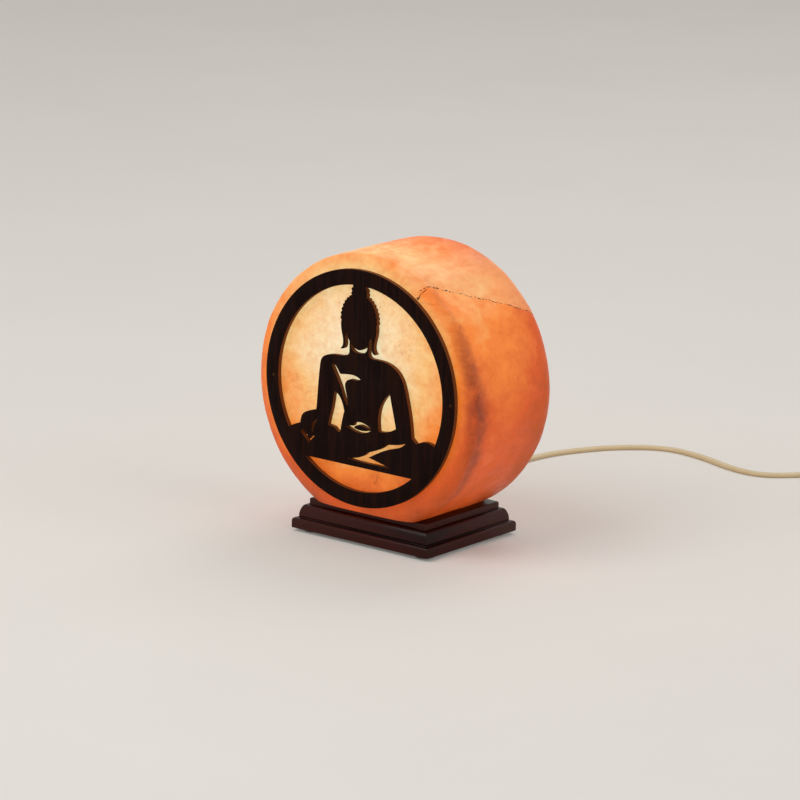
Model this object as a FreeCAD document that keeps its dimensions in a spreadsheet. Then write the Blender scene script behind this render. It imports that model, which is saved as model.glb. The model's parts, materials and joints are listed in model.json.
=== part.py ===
import FreeCAD, Part
import math
import os
import re

import Sketcher
from FreeCAD import Placement, Rotation, Vector

# Salt crystal lamp: a round slab of rock salt on a moulded wooden foot, with a
# fretwork panel on its front and a small screw-in bulb in a bore from below.
# Millimetres, +Z up, front towards -Y. The origin is on the table, midway
# between the panel's face and the foot's back edge.

SIZES = [
    # salt slab
    ("disc_radius", 87.0, "radius of the round salt slab"),
    ("disc_thick", 86.6, "slab, front to back"),
    ("disc_rise", 77.2, "slab's centre above the wooden foot"),
    ("front_shoulder", 12.0, "width of the slab's soft front edge"),
    ("front_shoulder_depth", 5.5, "depth of that front edge"),
    ("back_round", 14.0, "rounding of the slab's back edge"),
    ("foot_round", 5.0, "rounding where the slab was cut flat"),
    ("bore_radius", 24.0, "bore for the bulb"),
    ("bore_headroom", 3.0, "room over the bulb when it is unscrewed"),
    # wooden foot
    ("pad_height", 2.0, "felt pad under the foot"),
    ("pad_radius", 6.0, "felt pad"),
    ("pad_inset", 10.0, "pad's centre from the foot's edges"),
    ("base_length", 109.2, "foot, left to right"),
    ("base_depth", 90.0, "foot, front to back"),
    ("base_height", 19.3, "foot without its pads"),
    ("base_shift", 1.0, "foot's centre behind the origin"),
    ("plinth_height", 6.7, "plain band at the bottom of the moulding"),
    ("plinth_ease", 1.8, "rounding of that band's top edge"),
    ("plinth_step", 3.2, "step in above the plain band"),
    ("cove_height", 1.2, "small hollow above the step"),
    ("ovolo_inset", 6.4, "top of the round moulding, from the edge"),
    ("ovolo_height", 15.0, "top of the round moulding, from the bottom"),
    ("ovolo_radius", 7.0, "round moulding"),
    ("top_inset", 8.0, "top band, from the edge"),
    ("top_ease", 0.9, "rounding of the top edge"),
    ("hole_radius", 23.0, "hole through the foot for the lamp holder"),
    ("recess_radius", 30.0, "recess under the foot"),
    ("recess_depth", 10.0, "recess under the foot"),
    ("groove_width", 8.0, "groove for the lead"),
    ("groove_depth", 5.5, "groove for the lead"),
    # fixings of slab and foot
    ("fixing_x", 23.0, "slab screws, from the middle"),
    ("fixing_y", 28.0, "slab screws, from the middle"),
    ("screw_radius", 1.9, "slab screw"),
    ("screw_head_radius", 3.6, "slab screw's countersunk head"),
    ("screw_head_height", 2.4, "slab screw's countersunk head"),
    ("screw_length", 40.0, "slab screw"),
    ("plug_radius", 3.0, "plastic wall plug in the salt"),
    ("plug_length", 25.0, "plastic wall plug in the salt"),
    # fretwork panel
    ("ring_radius", 75.0, "outside of the panel's ring"),
    ("ring_band", 9.7, "width of the ring"),
    ("ring_rise", 79.8, "ring's centre above the foot"),
    ("panel_thick", 3.0, "thickness of the wood"),
    ("panel_proud", 2.0, "panel's face in front of the foot's edge"),
    ("glue_gap", 0.4, "adhesive between panel and salt"),
    ("dab_radius", 2.5, "dab of adhesive"),
    ("pin_radius", 0.6, "shank of a panel pin"),
    ("pin_head_radius", 1.1, "head of a panel pin"),
    ("pin_length", 15.0, "panel pin"),
    # lamp holder and its bracket
    ("plate_radius", 29.0, "steel bracket plate"),
    ("plate_thick", 1.0, "steel bracket plate"),
    ("clip_thick", 0.6, "spring strip"),
    ("clip_width", 8.0, "spring strip"),
    ("clip_foot_radius", 15.0, "inner end of a spring strip"),
    ("rivet_radius", 1.5, "rivet of a spring strip"),
    ("nipple_radius", 5.0, "hollow threaded tube"),
    ("nipple_bore", 3.9, "bore of that tube"),
    ("nut_flats", 14.0, "lock nut across its flats"),
    ("nut_height", 2.5, "lock nut"),
    ("holder_radius", 14.0, "outside of the lamp holder"),
    ("holder_wall", 1.6, "wall of the lamp holder"),
    ("holder_floor", 2.0, "floor of the holder's cap"),
    ("holder_cap_height", 22.0, "lower half of the lamp holder"),
    ("sleeve_height", 26.0, "upper half of the lamp holder"),
    ("spigot_height", 5.7, "sleeve's spigot inside the cap"),
    ("core_radius", 11.0, "ceramic core"),
    ("core_height", 12.0, "ceramic core"),
    ("core_flange", 2.0, "flange of the ceramic core"),
    ("shell_radius", 7.25, "inside of the threaded brass shell"),
    ("shell_wall", 0.4, "brass shell"),
    ("shell_height", 22.0, "brass shell"),
    ("contact_height", 2.2, "centre contact above the core"),
    # bulb
    ("bulb_length", 97.0, "bulb, tip to top"),
    ("bulb_radius", 17.5, "widest part of the glass"),
    ("bulb_neck", 6.2, "neck of the glass"),
    ("glass_wall", 0.8, "glass"),
    ("cap_radius", 6.9, "crest of the bulb's thread"),
    ("cap_wall", 0.5, "bulb's metal cap"),
    ("thread_pitch", 2.82, "pitch of the bulb's thread"),
    ("bulb_turns", 3.0, "turns that free the bulb"),
    ("seat_gap", 0.3, "bulb's tip above the centre contact"),
    # flat twin lead
    ("lead_width", 5.5, "flat lead"),
    ("lead_thick", 2.8, "flat lead"),
    ("core_wire", 0.9, "radius of one insulated core"),
    ("exit_height", 4.2, "middle of the lead where it leaves the foot"),
    ("lead_bend", 6.0, "bend of the lead under the holder"),
    ("grommet_tail", 20.0, "tapered tail of the rubber grommet"),
    ("grommet_flange", 1.5, "flange of the rubber grommet"),
    ("grommet_root", 5.5, "part of the grommet inside the groove"),
    ("saddle_reach", 8.0, "screws of the lead's saddle, from the middle"),
    ("saddle_screw", 1.1, "screw of the lead's saddle"),
    ("saddle_thick", 1.0, "saddle that holds the lead in the groove"),
    ("coil_pitch", 6.2, "coil, turn to turn"),
    ("coil_lift", 3.6, "coil, layer to layer"),
    ("coil_inner", 23.0, "coil's smallest radius"),
    ("coil_layer_turns", 3.0, "turns in each of its two layers"),
    ("coil_floor", 2.4, "middle of the lower layer above the table"),
    ("coil_x", 204.0, "coil's centre"),
    ("coil_y", 236.0, "coil's centre"),
    ("tie_wall", 0.8, "strap round the coil"),
    ("tie_width", 8.0, "strap round the coil"),
    # switch on the lead
    ("switch_x", 181.0, "switch's centre"),
    ("switch_y", 311.5, "switch's centre"),
    ("switch_length", 62.0, "switch"),
    ("switch_width", 24.0, "switch"),
    ("switch_split", 7.5, "joint between the switch's halves"),
    ("switch_height", 15.0, "switch without its rocker"),
    ("switch_wall", 1.6, "switch's wall"),
    ("switch_corner", 5.0, "cut corners of the switch, seen from above"),
    ("switch_entry", 6.0, "middle of the lead in the switch"),
    ("lead_inside", 9.0, "length of the lead inside the switch"),
    ("post_x", 19.0, "switch screws, from the switch's middle"),
    ("post_y", 8.0, "switch screws, from the switch's middle"),
    ("clamp_x", 24.5, "cord clamps, from the switch's middle"),
    ("clamp_y", 6.2, "clamp screws, from the switch's middle"),
    ("block_x", 15.0, "brass blocks, from the switch's middle"),
    ("block_y", 3.0, "brass blocks, in front of the switch's middle"),
    ("rocker_half", 9.5, "rocker, half its length"),
    ("rocker_width", 12.0, "rocker"),
    ("rocker_pivot", 11.5, "rocker's axis above the table"),
    ("rocker_tilt", 8.0, "degrees either side of level"),
    ("rocker_pin", 1.2, "radius of the rocker's pins"),
    # mains plug
    ("mains_x", 246.5, "plug's middle line"),
    ("mains_y", 183.5, "back of the plug's body"),
    ("mains_length", 35.0, "plug's body"),
    ("mains_width", 35.2, "plug's body"),
    ("mains_thick", 13.7, "plug's body"),
    ("mains_pin_spread", 18.6, "between the plug's pins"),
    ("mains_pin_radius", 2.0, "plug's pin"),
    ("mains_pin_length", 19.0, "plug's pin"),
    ("mains_relief", 22.0, "plug's tapered sleeve"),
]

doc = FreeCAD.newDocument("SaltLamp")
sheet = doc.addObject("Spreadsheet::Sheet", "Sizes")
for row, (alias, amount, note) in enumerate(SIZES, start=1):
    sheet.set(f"A{row}", note)
    sheet.set(f"B{row}", str(amount))
    sheet.setAlias(f"B{row}", alias)
doc.recompute()

ALIASES = {alias for alias, _, _ in SIZES}
NODES = []

# Heights and places that several pieces share, as expressions over the sheet.
BASE_TOP = "(pad_height + base_height)"
DISC_Z = f"({BASE_TOP} + disc_rise)"
RING_Z = f"({BASE_TOP} + ring_rise)"
PANEL_FRONT = "(base_shift - base_depth / 2 - panel_proud)"
PANEL_BACK = f"({PANEL_FRONT} + panel_thick)"
SALT_FRONT = f"({PANEL_BACK} + glue_gap)"
PLATE_TOP = "(pad_height + recess_depth)"
CAP_TOP = f"({PLATE_TOP} + holder_cap_height)"
LEDGE = f"({CAP_TOP} - spigot_height - 0.3 - core_flange)"
CORE_BOTTOM = f"({LEDGE} - 3)"
CORE_TOP = f"({CORE_BOTTOM} + core_height)"
BULB_Z = f"({CORE_TOP} + contact_height + seat_gap)"
BULB_TOP = f"({BULB_Z} + bulb_length)"
BORE_TOP = f"({BULB_TOP} + bulb_turns * thread_pitch + bore_headroom)"
BASE_BACK = "(base_shift + base_depth / 2)"
MAINS_Z = "(mains_thick / 2 + 0.1)"


# ---- helpers ---------------------------------------------------------------
def full(expression):
    """The expression with each alias written as the sheet's own cell."""
    return re.sub(r"[a-z_]+", lambda w: f"Sizes.{w[0]}" if w[0] in ALIASES else w[0], expression)


def mm(expression):
    """What an expression over the sheet comes to, as a number."""
    return float(sheet.evalExpression(full(str(expression))))


def bind(thing, **links):
    """Bind properties to expressions over the sheet."""
    for name, expression in links.items():
        thing.setExpression(name, full(str(expression)))


def place(thing, x="0", y="0", z="0", turn=None):
    """Turn a piece once, then bind its place to the sheet."""
    if turn:
        thing.Placement = Placement(Vector(), turn)
    for axis, expression in zip("xyz", (x, y, z)):
        thing.setExpression(f"Placement.Base.{axis}", full(str(expression)))
    return thing


def node(thing, label):
    """Name a finished piece and keep it for export."""
    thing.Label = label
    NODES.append(thing)
    return thing


ALONG_Y = Rotation(Vector(1, 0, 0), -90)
ALONG_X = Rotation(Vector(0, 1, 0), 90)


def cylinder(name, radius, height, x="0", y="0", z="0", turn=None):
    rod = doc.addObject("Part::Cylinder", name)
    bind(rod, Radius=radius, Height=height)
    return place(rod, x, y, z, turn)


def cone(name, radius, end_radius, height, x="0", y="0", z="0", turn=None):
    taper = doc.addObject("Part::Cone", name)
    bind(taper, Radius1=radius, Radius2=end_radius, Height=height)
    return place(taper, x, y, z, turn)


def box(name, length, width, height, x="0", y="0", z="0"):
    """A box centred on x and y, standing on z."""
    block = doc.addObject("Part::Box", name)
    bind(block, Length=length, Width=width, Height=height)
    return place(block, f"{x} - ({length}) / 2", f"{y} - ({width}) / 2", z)


def fuse(name, *parts):
    joined = doc.addObject("Part::MultiFuse", name)
    joined.Shapes = list(parts)
    joined.Refine = True
    return joined


def cut(name, solid, *tools):
    rest = doc.addObject("Part::Cut", name)
    rest.Base = solid
    rest.Tool = tools[0] if len(tools) == 1 else fuse(name + "_tools", *tools)
    rest.Refine = True
    return rest


def group(name, parts):
    """Like pieces that stay separate solids in one node."""
    together = doc.addObject("Part::Compound", name)
    together.Links = list(parts)
    return together


def soften(solid, name, radius, chosen):
    """Round the edges of a solid for which chosen(edge) is true."""
    doc.recompute()
    rounded = doc.addObject("Part::Fillet", name)
    rounded.Base = solid
    rounded.Edges = [
        (number, radius, radius)
        for number, edge in enumerate(solid.Shape.Edges, start=1)
        if chosen(edge)
    ]
    return rounded


def arc_through(start, heading, end):
    """The arc that leaves start along heading and reaches end."""
    chord = end - start
    along = Vector(chord).normalize()
    aside = heading - along * heading.dot(along)
    if aside.Length < 1e-6:
        return Part.LineSegment(start, end)
    angle = heading.getAngle(along)
    rise = chord.Length / 2 * math.tan(angle / 2)
    return Part.Arc(start, (start + end) * 0.5 + aside.normalize() * rise, end)


def draw(sketch, start, steps):
    """Draw a closed outline whose corners and radii are bound to the sheet.

    A step is ("line", x, y), ("arc", x, y, radius, turn), where turn is 1 for an
    anticlockwise arc and -1 for a clockwise one, or ("flow", x, y), an arc that
    leaves the step before it without a corner.
    """
    links = []
    here = Vector(mm(start[0]), mm(start[1]), 0)
    first = here
    heading = None
    ends = []
    for number, step in enumerate(steps):
        there = Vector(mm(step[1]), mm(step[2]), 0)
        chord = there - here
        if step[0] == "line":
            edge = Part.LineSegment(here, there)
            heading = Vector(chord).normalize()
        else:
            if step[0] == "arc":
                lean = math.asin(chord.Length / 2 / mm(step[3])) * step[4]
                heading = Rotation(Vector(0, 0, 1), -math.degrees(lean)).multVec(chord).normalize()
            curve = arc_through(here, heading, there).toShape().Curve
            left = heading.cross(chord).z > 0
            angles = [math.atan2(point.y - curve.Center.y, point.x - curve.Center.x)
                      for point in ((here, there) if left else (there, here))]
            circle = Part.Circle(curve.Center, Vector(0, 0, 1), curve.Radius)
            edge = Part.ArcOfCircle(circle, angles[0], angles[1])
            spin = Rotation(heading, Vector(chord).normalize())
            heading = spin.multVec(Vector(chord).normalize())
        sketch.addGeometry(edge, False)
        clockwise = step[0] != "line" and not left
        ends.append((2, 1) if clockwise else (1, 2))
        here = there
    constraints = []
    corners = [start] + [step[1:3] for step in steps]
    for number, step in enumerate(steps):
        before = number - 1 if number else len(steps) - 1
        kind = "Tangent" if step[0] == "flow" else "Coincident"
        constraints.append(Sketcher.Constraint(kind, before, ends[before][1], number, ends[number][0]))
        for axis, lock, line, text in (("x", "DistanceX", -2, corners[number][0]),
                                       ("y", "DistanceY", -1, corners[number][1])):
            if text == "0":
                constraints.append(
                    Sketcher.Constraint("PointOnObject", number, ends[number][0], line))
            else:
                links.append((len(constraints), text))
                constraints.append(
                    Sketcher.Constraint(lock, -1, 1, number, ends[number][0], mm(text)))
        if step[0] == "arc":
            links.append((len(constraints), step[3]))
            constraints.append(Sketcher.Constraint("Radius", number, mm(step[3])))
    sketch.addConstraint(constraints)
    for number, text in links:
        sketch.setExpression(f"Constraints[{number}]", full(text))
    assert (here - first).Length < 1e-6, sketch.Name


def sketched(name, plane, start, steps, lift="0"):
    """A body with one sketch on one of its own origin planes."""
    body = doc.addObject("PartDesign::Body", name)
    sketch = body.newObject("Sketcher::SketchObject", name + "_sketch")
    support = [face for face in body.Origin.OriginFeatures if face.Role == plane]
    sketch.AttachmentSupport = [(support[0], "")]
    sketch.MapMode = "FlatFace"
    if lift != "0":
        sketch.setExpression("AttachmentOffset.Base.z", full(lift))
    draw(sketch, start, steps)
    return body, sketch


def turned(name, start, steps, x="0", y="0", z="0", turn=None, plane="XZ_Plane"):
    """A turned piece: its half outline, radius and height, goes round its axis."""
    body, sketch = sketched(name, plane, start, steps)
    spin = body.newObject("PartDesign::Revolution", name + "_turning")
    spin.Profile = sketch
    spin.ReferenceAxis = (sketch, ["V_Axis"])
    spin.Angle = 360
    return place(body, x, y, z, turn)


def padded(name, plane, start, steps, length, x="0", y="0", z="0", turn=None, both=False, lift="0"):
    """A piece cut from plate: its outline, made as thick as length."""
    body, sketch = sketched(name, plane, start, steps, lift)
    pad = body.newObject("PartDesign::Pad", name + "_thickness")
    pad.Profile = sketch
    bind(pad, Length=length)
    if both:
        pad.SideType = "Symmetric"
    return place(body, x, y, z, turn)


def lines(*corners):
    """A closed outline of straight edges, as draw() takes it."""
    return corners[0], [("line", *corner) for corner in corners[1:] + corners[:1]]


# ---- salt slab -------------------------------------------------------------
# The slab's half outline: distance from its axis, and depth along the axis.
SALT_BACK = f"({SALT_FRONT} + disc_thick)"
slab = turned(
    "salt_slab",
    ("0", SALT_FRONT),
    [
        ("line", "disc_radius - front_shoulder", SALT_FRONT),
        ("flow", "disc_radius - 0.267 * front_shoulder", f"{SALT_FRONT} + 0.225 * front_shoulder_depth"),
        ("flow", "disc_radius", f"{SALT_FRONT} + front_shoulder_depth"),
        ("line", "disc_radius", f"{SALT_BACK} - back_round"),
        ("arc", "disc_radius - back_round", SALT_BACK, "back_round", 1),
        ("line", "0", SALT_BACK),
        ("line", "0", SALT_FRONT),
    ],
    z=DISC_Z,
    plane="XY_Plane",
)
below = box("salt_offcut", "2 * disc_radius", "2 * disc_thick", "disc_radius",
            y=f"{SALT_FRONT} + disc_thick / 2", z=f"{BASE_TOP} - disc_radius")
flat_slab = cut("salt_flat", slab, below)
flat_z = mm(BASE_TOP)
# The rounding stays within the height that was cut off the slab.
offcut_height = mm("disc_radius - disc_rise")
eased_slab = soften(flat_slab, "salt_eased", min(mm("foot_round"), 0.6 * offcut_height),
                    lambda edge: abs(edge.CenterOfMass.z - flat_z) < 0.01)

FIXINGS = [(f"{sx} * fixing_x", f"base_shift + {sy} * fixing_y") for sx in (-1, 1) for sy in (-1, 1)]
# The two panel pins, hand driven, as (x, z) from the ring's centre.
PIN_PLACES = [("-0.92 * ring_radius", "-2.2"), ("0.954 * ring_radius", "1.7")]
bores = [cylinder("salt_bore", "bore_radius", f"{BORE_TOP} - {BASE_TOP} + 1",
                  y="base_shift", z=f"{BASE_TOP} - 1")]
for number, (x, y) in enumerate(FIXINGS):
    bores.append(cylinder(f"salt_plug_hole{number}", "plug_radius", "plug_length + 1",
                          x=x, y=y, z=f"{BASE_TOP} - 0.5"))
for number, (x, z) in enumerate(PIN_PLACES):
    bores.append(cylinder(f"salt_pin_hole{number}", "pin_radius + 0.1", "pin_length + 2",
                          x=x, y=PANEL_BACK, z=f"{RING_Z} + ({z})", turn=ALONG_Y))
node(cut("salt_block", eased_slab, *bores), "salt_crystal")

# ---- wooden foot -----------------------------------------------------------


def moulding(name, plane, half, length):
    """A bar with the moulding down both its sides; two of them crossed make the foot."""
    side = [
        ("line", "half", "plinth_height - plinth_ease"),
        ("arc", "half - plinth_ease", "plinth_height", "plinth_ease", 1),
        ("line", "half - plinth_step", "plinth_height"),
        ("line", "half - plinth_step", "plinth_height + cove_height"),
        ("arc", "half - ovolo_inset", "ovolo_height", "ovolo_radius", 1),
        ("line", "half - top_inset", "ovolo_height"),
        ("line", "half - top_inset", "base_height - top_ease"),
        ("arc", "half - top_inset - top_ease", "base_height", "top_ease", 1),
    ]
    right = [[text.replace("half", half) if isinstance(text, str) else text for text in step]
             for step in side]
    # The left side is the right one, mirrored and run through backwards.
    corners = [[half, "0"]] + [step[1:3] for step in right]
    left = []
    for number in range(len(right) - 1, -1, -1):
        x, height = corners[number]
        left.append([right[number][0], f"-({x})", height] + right[number][3:])
    steps = right + [["line", f"-({corners[-1][0]})", "base_height"]] + left
    return padded(name, plane, (half, "0"), steps + [["line", half, "0"]], length, both=True)


crossed = doc.addObject("Part::MultiCommon", "foot_moulding")
crossed.Shapes = [
    moulding("foot_side_bar", "YZ_Plane", "base_depth / 2", "base_length"),
    moulding("foot_front_bar", "XZ_Plane", "base_length / 2", "base_depth"),
]
place(crossed, y="base_shift", z="pad_height")
foot_cuts = [
    cylinder("foot_hole", "hole_radius", "base_height + 2", y="base_shift", z="pad_height - 1"),
    cylinder("foot_recess", "recess_radius", "recess_depth + 1", y="base_shift", z="pad_height - 1"),
    box("foot_groove", "groove_width", "base_depth / 2 + 1", "groove_depth + 1",
        y="base_shift + base_depth / 4 + 0.5", z="pad_height - 1"),
]
for number, (x, y) in enumerate(FIXINGS):
    foot_cuts.append(cylinder(f"foot_screw_hole{number}", "screw_radius + 0.3", "base_height + 2",
                              x=x, y=y, z="pad_height - 1"))
    foot_cuts.append(cylinder(f"foot_sink{number}", "screw_head_radius + 0.2", "1.6",
                              x=x, y=y, z="pad_height - 1"))
    foot_cuts.append(cone(f"foot_countersink{number}", "screw_head_radius + 0.2", "screw_radius + 0.2",
                          "screw_head_height", x=x, y=y, z="pad_height + 0.6"))
SADDLE_Y = "(base_shift + base_depth / 2 - 10.5)"
for number, sign in enumerate((-1, 1)):
    foot_cuts.append(cylinder(f"foot_saddle_hole{number}", "saddle_screw + 0.1", "8.5",
                              x=f"{sign} * saddle_reach", y=SADDLE_Y, z="pad_height - 1"))
node(cut("foot", crossed, *foot_cuts), "wood_base")

pads = [
    cylinder(f"felt_pad{number}", "pad_radius", "pad_height",
             x=f"{sx} * (base_length / 2 - pad_inset)",
             y=f"base_shift + {sy} * (base_depth / 2 - pad_inset)")
    for number, (sx, sy) in enumerate([(-1, -1), (1, -1), (-1, 1), (1, 1)])
]
node(group("felt_pads", pads), "base_feet")

slab_screws = []
wall_plugs = []
for number, (x, y) in enumerate(FIXINGS):
    slab_screws.append(turned(
        f"slab_screw{number}",
        ("0", "0.3"),
        [
            ("line", "screw_head_radius", "0.3"),
            ("line", "screw_head_radius", "0.6"),
            ("line", "screw_radius", "screw_head_height + 0.2"),
            ("line", "screw_radius", "screw_length - 4"),
            ("line", "0", "screw_length"),
            ("line", "0", "0.3"),
        ],
        x=x, y=y, z="pad_height"))
    wall_plugs.append(cut(
        f"wall_plug{number}",
        cylinder(f"plug_sleeve{number}", "plug_radius", "plug_length", x=x, y=y, z=BASE_TOP),
        cylinder(f"plug_bore{number}", "screw_radius", "plug_length - 2", x=x, y=y,
                 z=f"{BASE_TOP} - 1")))
node(group("slab_screws", slab_screws), "base_screws")
node(group("plugs_in_salt", wall_plugs), "screw_plugs")

# ---- fretwork panel --------------------------------------------------------
# Outlines in mm from the ring's centre, x to the right and z up, for a ring
# whose opening is DRAWN_OPENING in radius; they grow and shrink with the ring.
# Each outline is a start and its runs: one point is a straight line to it,
# more are a smooth curve through them.
DRAWN_OPENING = 65.3
TORSO = ((-61, -36), [
    [(-55.5, -33.1)],
    [(-52.5, -31.4), (-47.0, -29.4)],
    [(-46.5, -27.0), (-45.2, -23.6), (-41.5, -21.0), (-34.1, -18.7)],
    [(-33.5, -12.0), (-32.7, -1.0), (-31.6, 10.0), (-30.0, 15.2), (-26.0, 17.6), (-18.0, 18.8),
     (-12.0, 19.4), (-9.3, 20.6), (-8.3, 22.8)],
    [(-8.3, 32.0)],
    [(7.0, 32.0)],
    [(7.0, 23.2)],
    [(8.2, 21.2), (12.0, 20.6), (20.0, 20.2), (27.0, 17.8), (32.5, 13.0), (35.6, 7.0), (38.0, -1.5),
     (39.8, -9.0), (41.2, -17.0), (42.0, -24.0)],
    [(43.6, -25.4), (45.6, -27.2)],
    [(48.5, -25.7), (54.0, -24.7), (58.0, -25.6), (60.5, -27.2)],
    [(63.0, -34.0)],
    [(50.0, -49.7)],
    [(-50.0, -49.7)],
    [(-61.0, -36.0)],
])
LEFT_ARM_GAP = ((-19.6, -4.4), [
    [(-20.4, -9.0), (-21.6, -16.0), (-23.1, -21.5), (-24.3, -26.6)],
    [(-21.5, -27.0), (-19.0, -27.8), (-17.0, -29.4), (-14.6, -29.7)],
    [(-14.0, -26.0), (-13.0, -21.0), (-11.6, -16.0)],
    [(-13.0, -11.5), (-15.2, -7.5), (-19.6, -4.4)],
])
SASH_GAP = ((-22.3, 12.0), [
    [(-20.8, 12.8), (-18.5, 11.4), (-14.9, 7.2)],
    [(-10.0, 7.8), (-4.0, 7.9), (0.9, 6.1)],
    [(-4.0, 5.0), (-8.8, 4.5), (-11.2, 1.8), (-10.8, -2.5), (-9.4, -7.5), (-8.9, -12.5)],
    [(-11.6, -8.8), (-14.4, -2.0), (-18.0, 4.8), (-22.3, 12.0)],
])
RIGHT_ARM_GAP = ((24.2, 1.0), [
    [(20.0, -3.2), (16.8, -9.0), (15.5, -15.5), (16.1, -24.3)],
    [(20.5, -24.0), (25.0, -22.7), (29.5, -20.2)],
    [(28.2, -15.0), (26.5, -8.5), (24.2, 1.0)],
])
HANDS_GAP = ((-10.2, -24.9), [
    [(-6.5, -24.2), (-4.2, -24.0)],
    [(-3.4, -22.2), (-0.5, -21.0), (4.5, -21.3), (9.8, -23.3)],
    [(6.5, -23.8), (2.5, -22.9), (-0.8, -23.1), (-3.8, -25.0)],
    [(0.0, -26.0), (5.0, -25.9), (9.8, -24.7)],
    [(6.0, -26.9), (0.0, -27.8), (-5.0, -26.8), (-10.2, -24.9)],
])
LEG_GAP = ((37.2, -28.4), [
    [(31.0, -30.2), (26.0, -31.0), (22.6, -31.5)],
    [(18.0, -34.9), (12.5, -37.4), (7.2, -39.2)],
    [(4.5, -41.6), (-1.0, -43.9), (-8.8, -45.3)],
    [(0.0, -46.0), (12.0, -46.1), (25.5, -46.0)],
    [(17.0, -44.0), (8.3, -42.2)],
    [(14.0, -39.0), (22.5, -35.0), (30.0, -32.7), (35.0, -30.3), (37.2, -28.4)],
])
FINGER_GAP = ((-46.2, -34.3), [
    [(-44.2, -33.6), (-42.6, -35.2), (-40.9, -36.2)],
    [(-39.7, -38.8)],
    [(-38.2, -37.0), (-35.2, -35.9)],
    [(-37.4, -38.2), (-40.0, -41.2)],
    [(-42.0, -38.6), (-44.6, -36.6), (-46.2, -34.3)],
])
WRIST_GAP = ((-33.0, -24.9), [
    [(-35.2, -26.0), (-36.9, -28.4), (-36.6, -33.4)],
    [(-35.5, -29.5), (-34.4, -26.9), (-33.0, -24.9)],
])
# The head is plain: an oval under a cap of curls, long ears and a topknot.
HEAD_X = -1.2
FACE = {"z": 41.5, "half_width": 10.5, "half_height": 17.0}
HAIR = {"z": 43.5, "half_width": 13.8, "half_height": 16.0, "curls": 19}
TOPKNOT = {"z": 60.5, "half_width": 5.6, "half_height": 6.5, "curls": 9}
CURL_RISE = 0.8
EAR = ((11.5, 46.0), [
    [(14.0, 41.0), (13.4, 34.0), (12.2, 28.5), (12.7, 25.4), (14.3, 23.8)],
    [(12.2, 23.6), (10.9, 24.8), (10.4, 28.0), (9.2, 34.0)],
    [(8.8, 44.0)],
    [(11.5, 46.0)],
])
CHIN_GAP = ((-7.0, 28.2), [
    [(-4.6, 25.8), (-0.8, 24.5), (3.0, 25.8), (5.6, 28.2)],
    [(5.3, 25.0), (3.2, 23.2), (-0.8, 22.5), (-4.8, 23.2), (-6.7, 25.0), (-7.0, 28.2)],
])

growth = mm("ring_radius - ring_band") / DRAWN_OPENING


def on_panel(x, z):
    """A drawn point, on the panel's back."""
    return Vector(x * growth, mm(PANEL_BACK), mm(RING_Z) + z * growth)


def plate_from(name, edges):
    """A flat closed outline on the panel's back, cut out of the panel's wood."""
    face = doc.addObject("Part::Feature", name + "_outline")
    face.Shape = Part.Face(Part.Wire(edges))
    plate = doc.addObject("Part::Extrusion", name)
    plate.Base = face
    plate.Dir = Vector(0, -1, 0)
    plate.Solid = True
    bind(plate, LengthFwd="panel_thick")
    return plate


def fret(name, outline, mirrored=False, shift=0.0):
    start, runs = outline
    sign = -1 if mirrored else 1
    here = on_panel(sign * start[0] + shift, start[1])
    edges = []
    for run in runs:
        points = [on_panel(sign * x + shift, z) for x, z in run]
        if len(points) == 1:
            edges.append(Part.makeLine(here, points[0]))
        else:
            curve = Part.BSplineCurve()
            curve.interpolate([here] + points)
            edges.append(curve.toShape())
        here = points[-1]
    return plate_from(name, edges)


def curled(name, part, start_deg, end_deg):
    """A round mass of hair whose edge is a row of curls."""
    def at(degrees, rise=0.0):
        turn = math.radians(degrees)
        return on_panel(HEAD_X + (part["half_width"] + rise) * math.cos(turn),
                        part["z"] + (part["half_height"] + rise) * math.sin(turn))
    step = (end_deg - start_deg) / part["curls"]
    edges = []
    for number in range(part["curls"]):
        angle = start_deg + number * step
        edges.append(Part.Arc(at(angle), at(angle + step / 2, CURL_RISE), at(angle + step)).toShape())
    edges.append(Part.makeLine(at(end_deg), at(start_deg)))
    return plate_from(name, edges)


face_edge = Part.Ellipse(on_panel(HEAD_X, FACE["z"] + FACE["half_height"]),
                         on_panel(HEAD_X + FACE["half_width"], FACE["z"]),
                         on_panel(HEAD_X, FACE["z"]))
ring = cut(
    "panel_ring",
    cylinder("ring_outside", "ring_radius", "panel_thick", y=PANEL_FRONT, z=RING_Z, turn=ALONG_Y),
    cylinder("ring_opening", "ring_radius - ring_band", "panel_thick + 2",
             y=f"{PANEL_FRONT} - 1", z=RING_Z, turn=ALONG_Y))
figure = fuse(
    "seated_figure",
    ring,
    fret("torso", TORSO),
    plate_from("face", [face_edge.toShape()]),
    curled("hair", HAIR, -6, 186),
    curled("topknot", TOPKNOT, -20, 200),
    fret("right_ear", EAR, shift=HEAD_X),
    fret("left_ear", EAR, mirrored=True, shift=HEAD_X))
gaps = [
    fret("left_arm_gap", LEFT_ARM_GAP),
    fret("sash_gap", SASH_GAP),
    fret("right_arm_gap", RIGHT_ARM_GAP),
    fret("hands_gap", HANDS_GAP),
    fret("leg_gap", LEG_GAP),
    fret("finger_gap", FINGER_GAP),
    fret("wrist_gap", WRIST_GAP),
    fret("chin_gap", CHIN_GAP),
]
panel_pins = []
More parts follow.
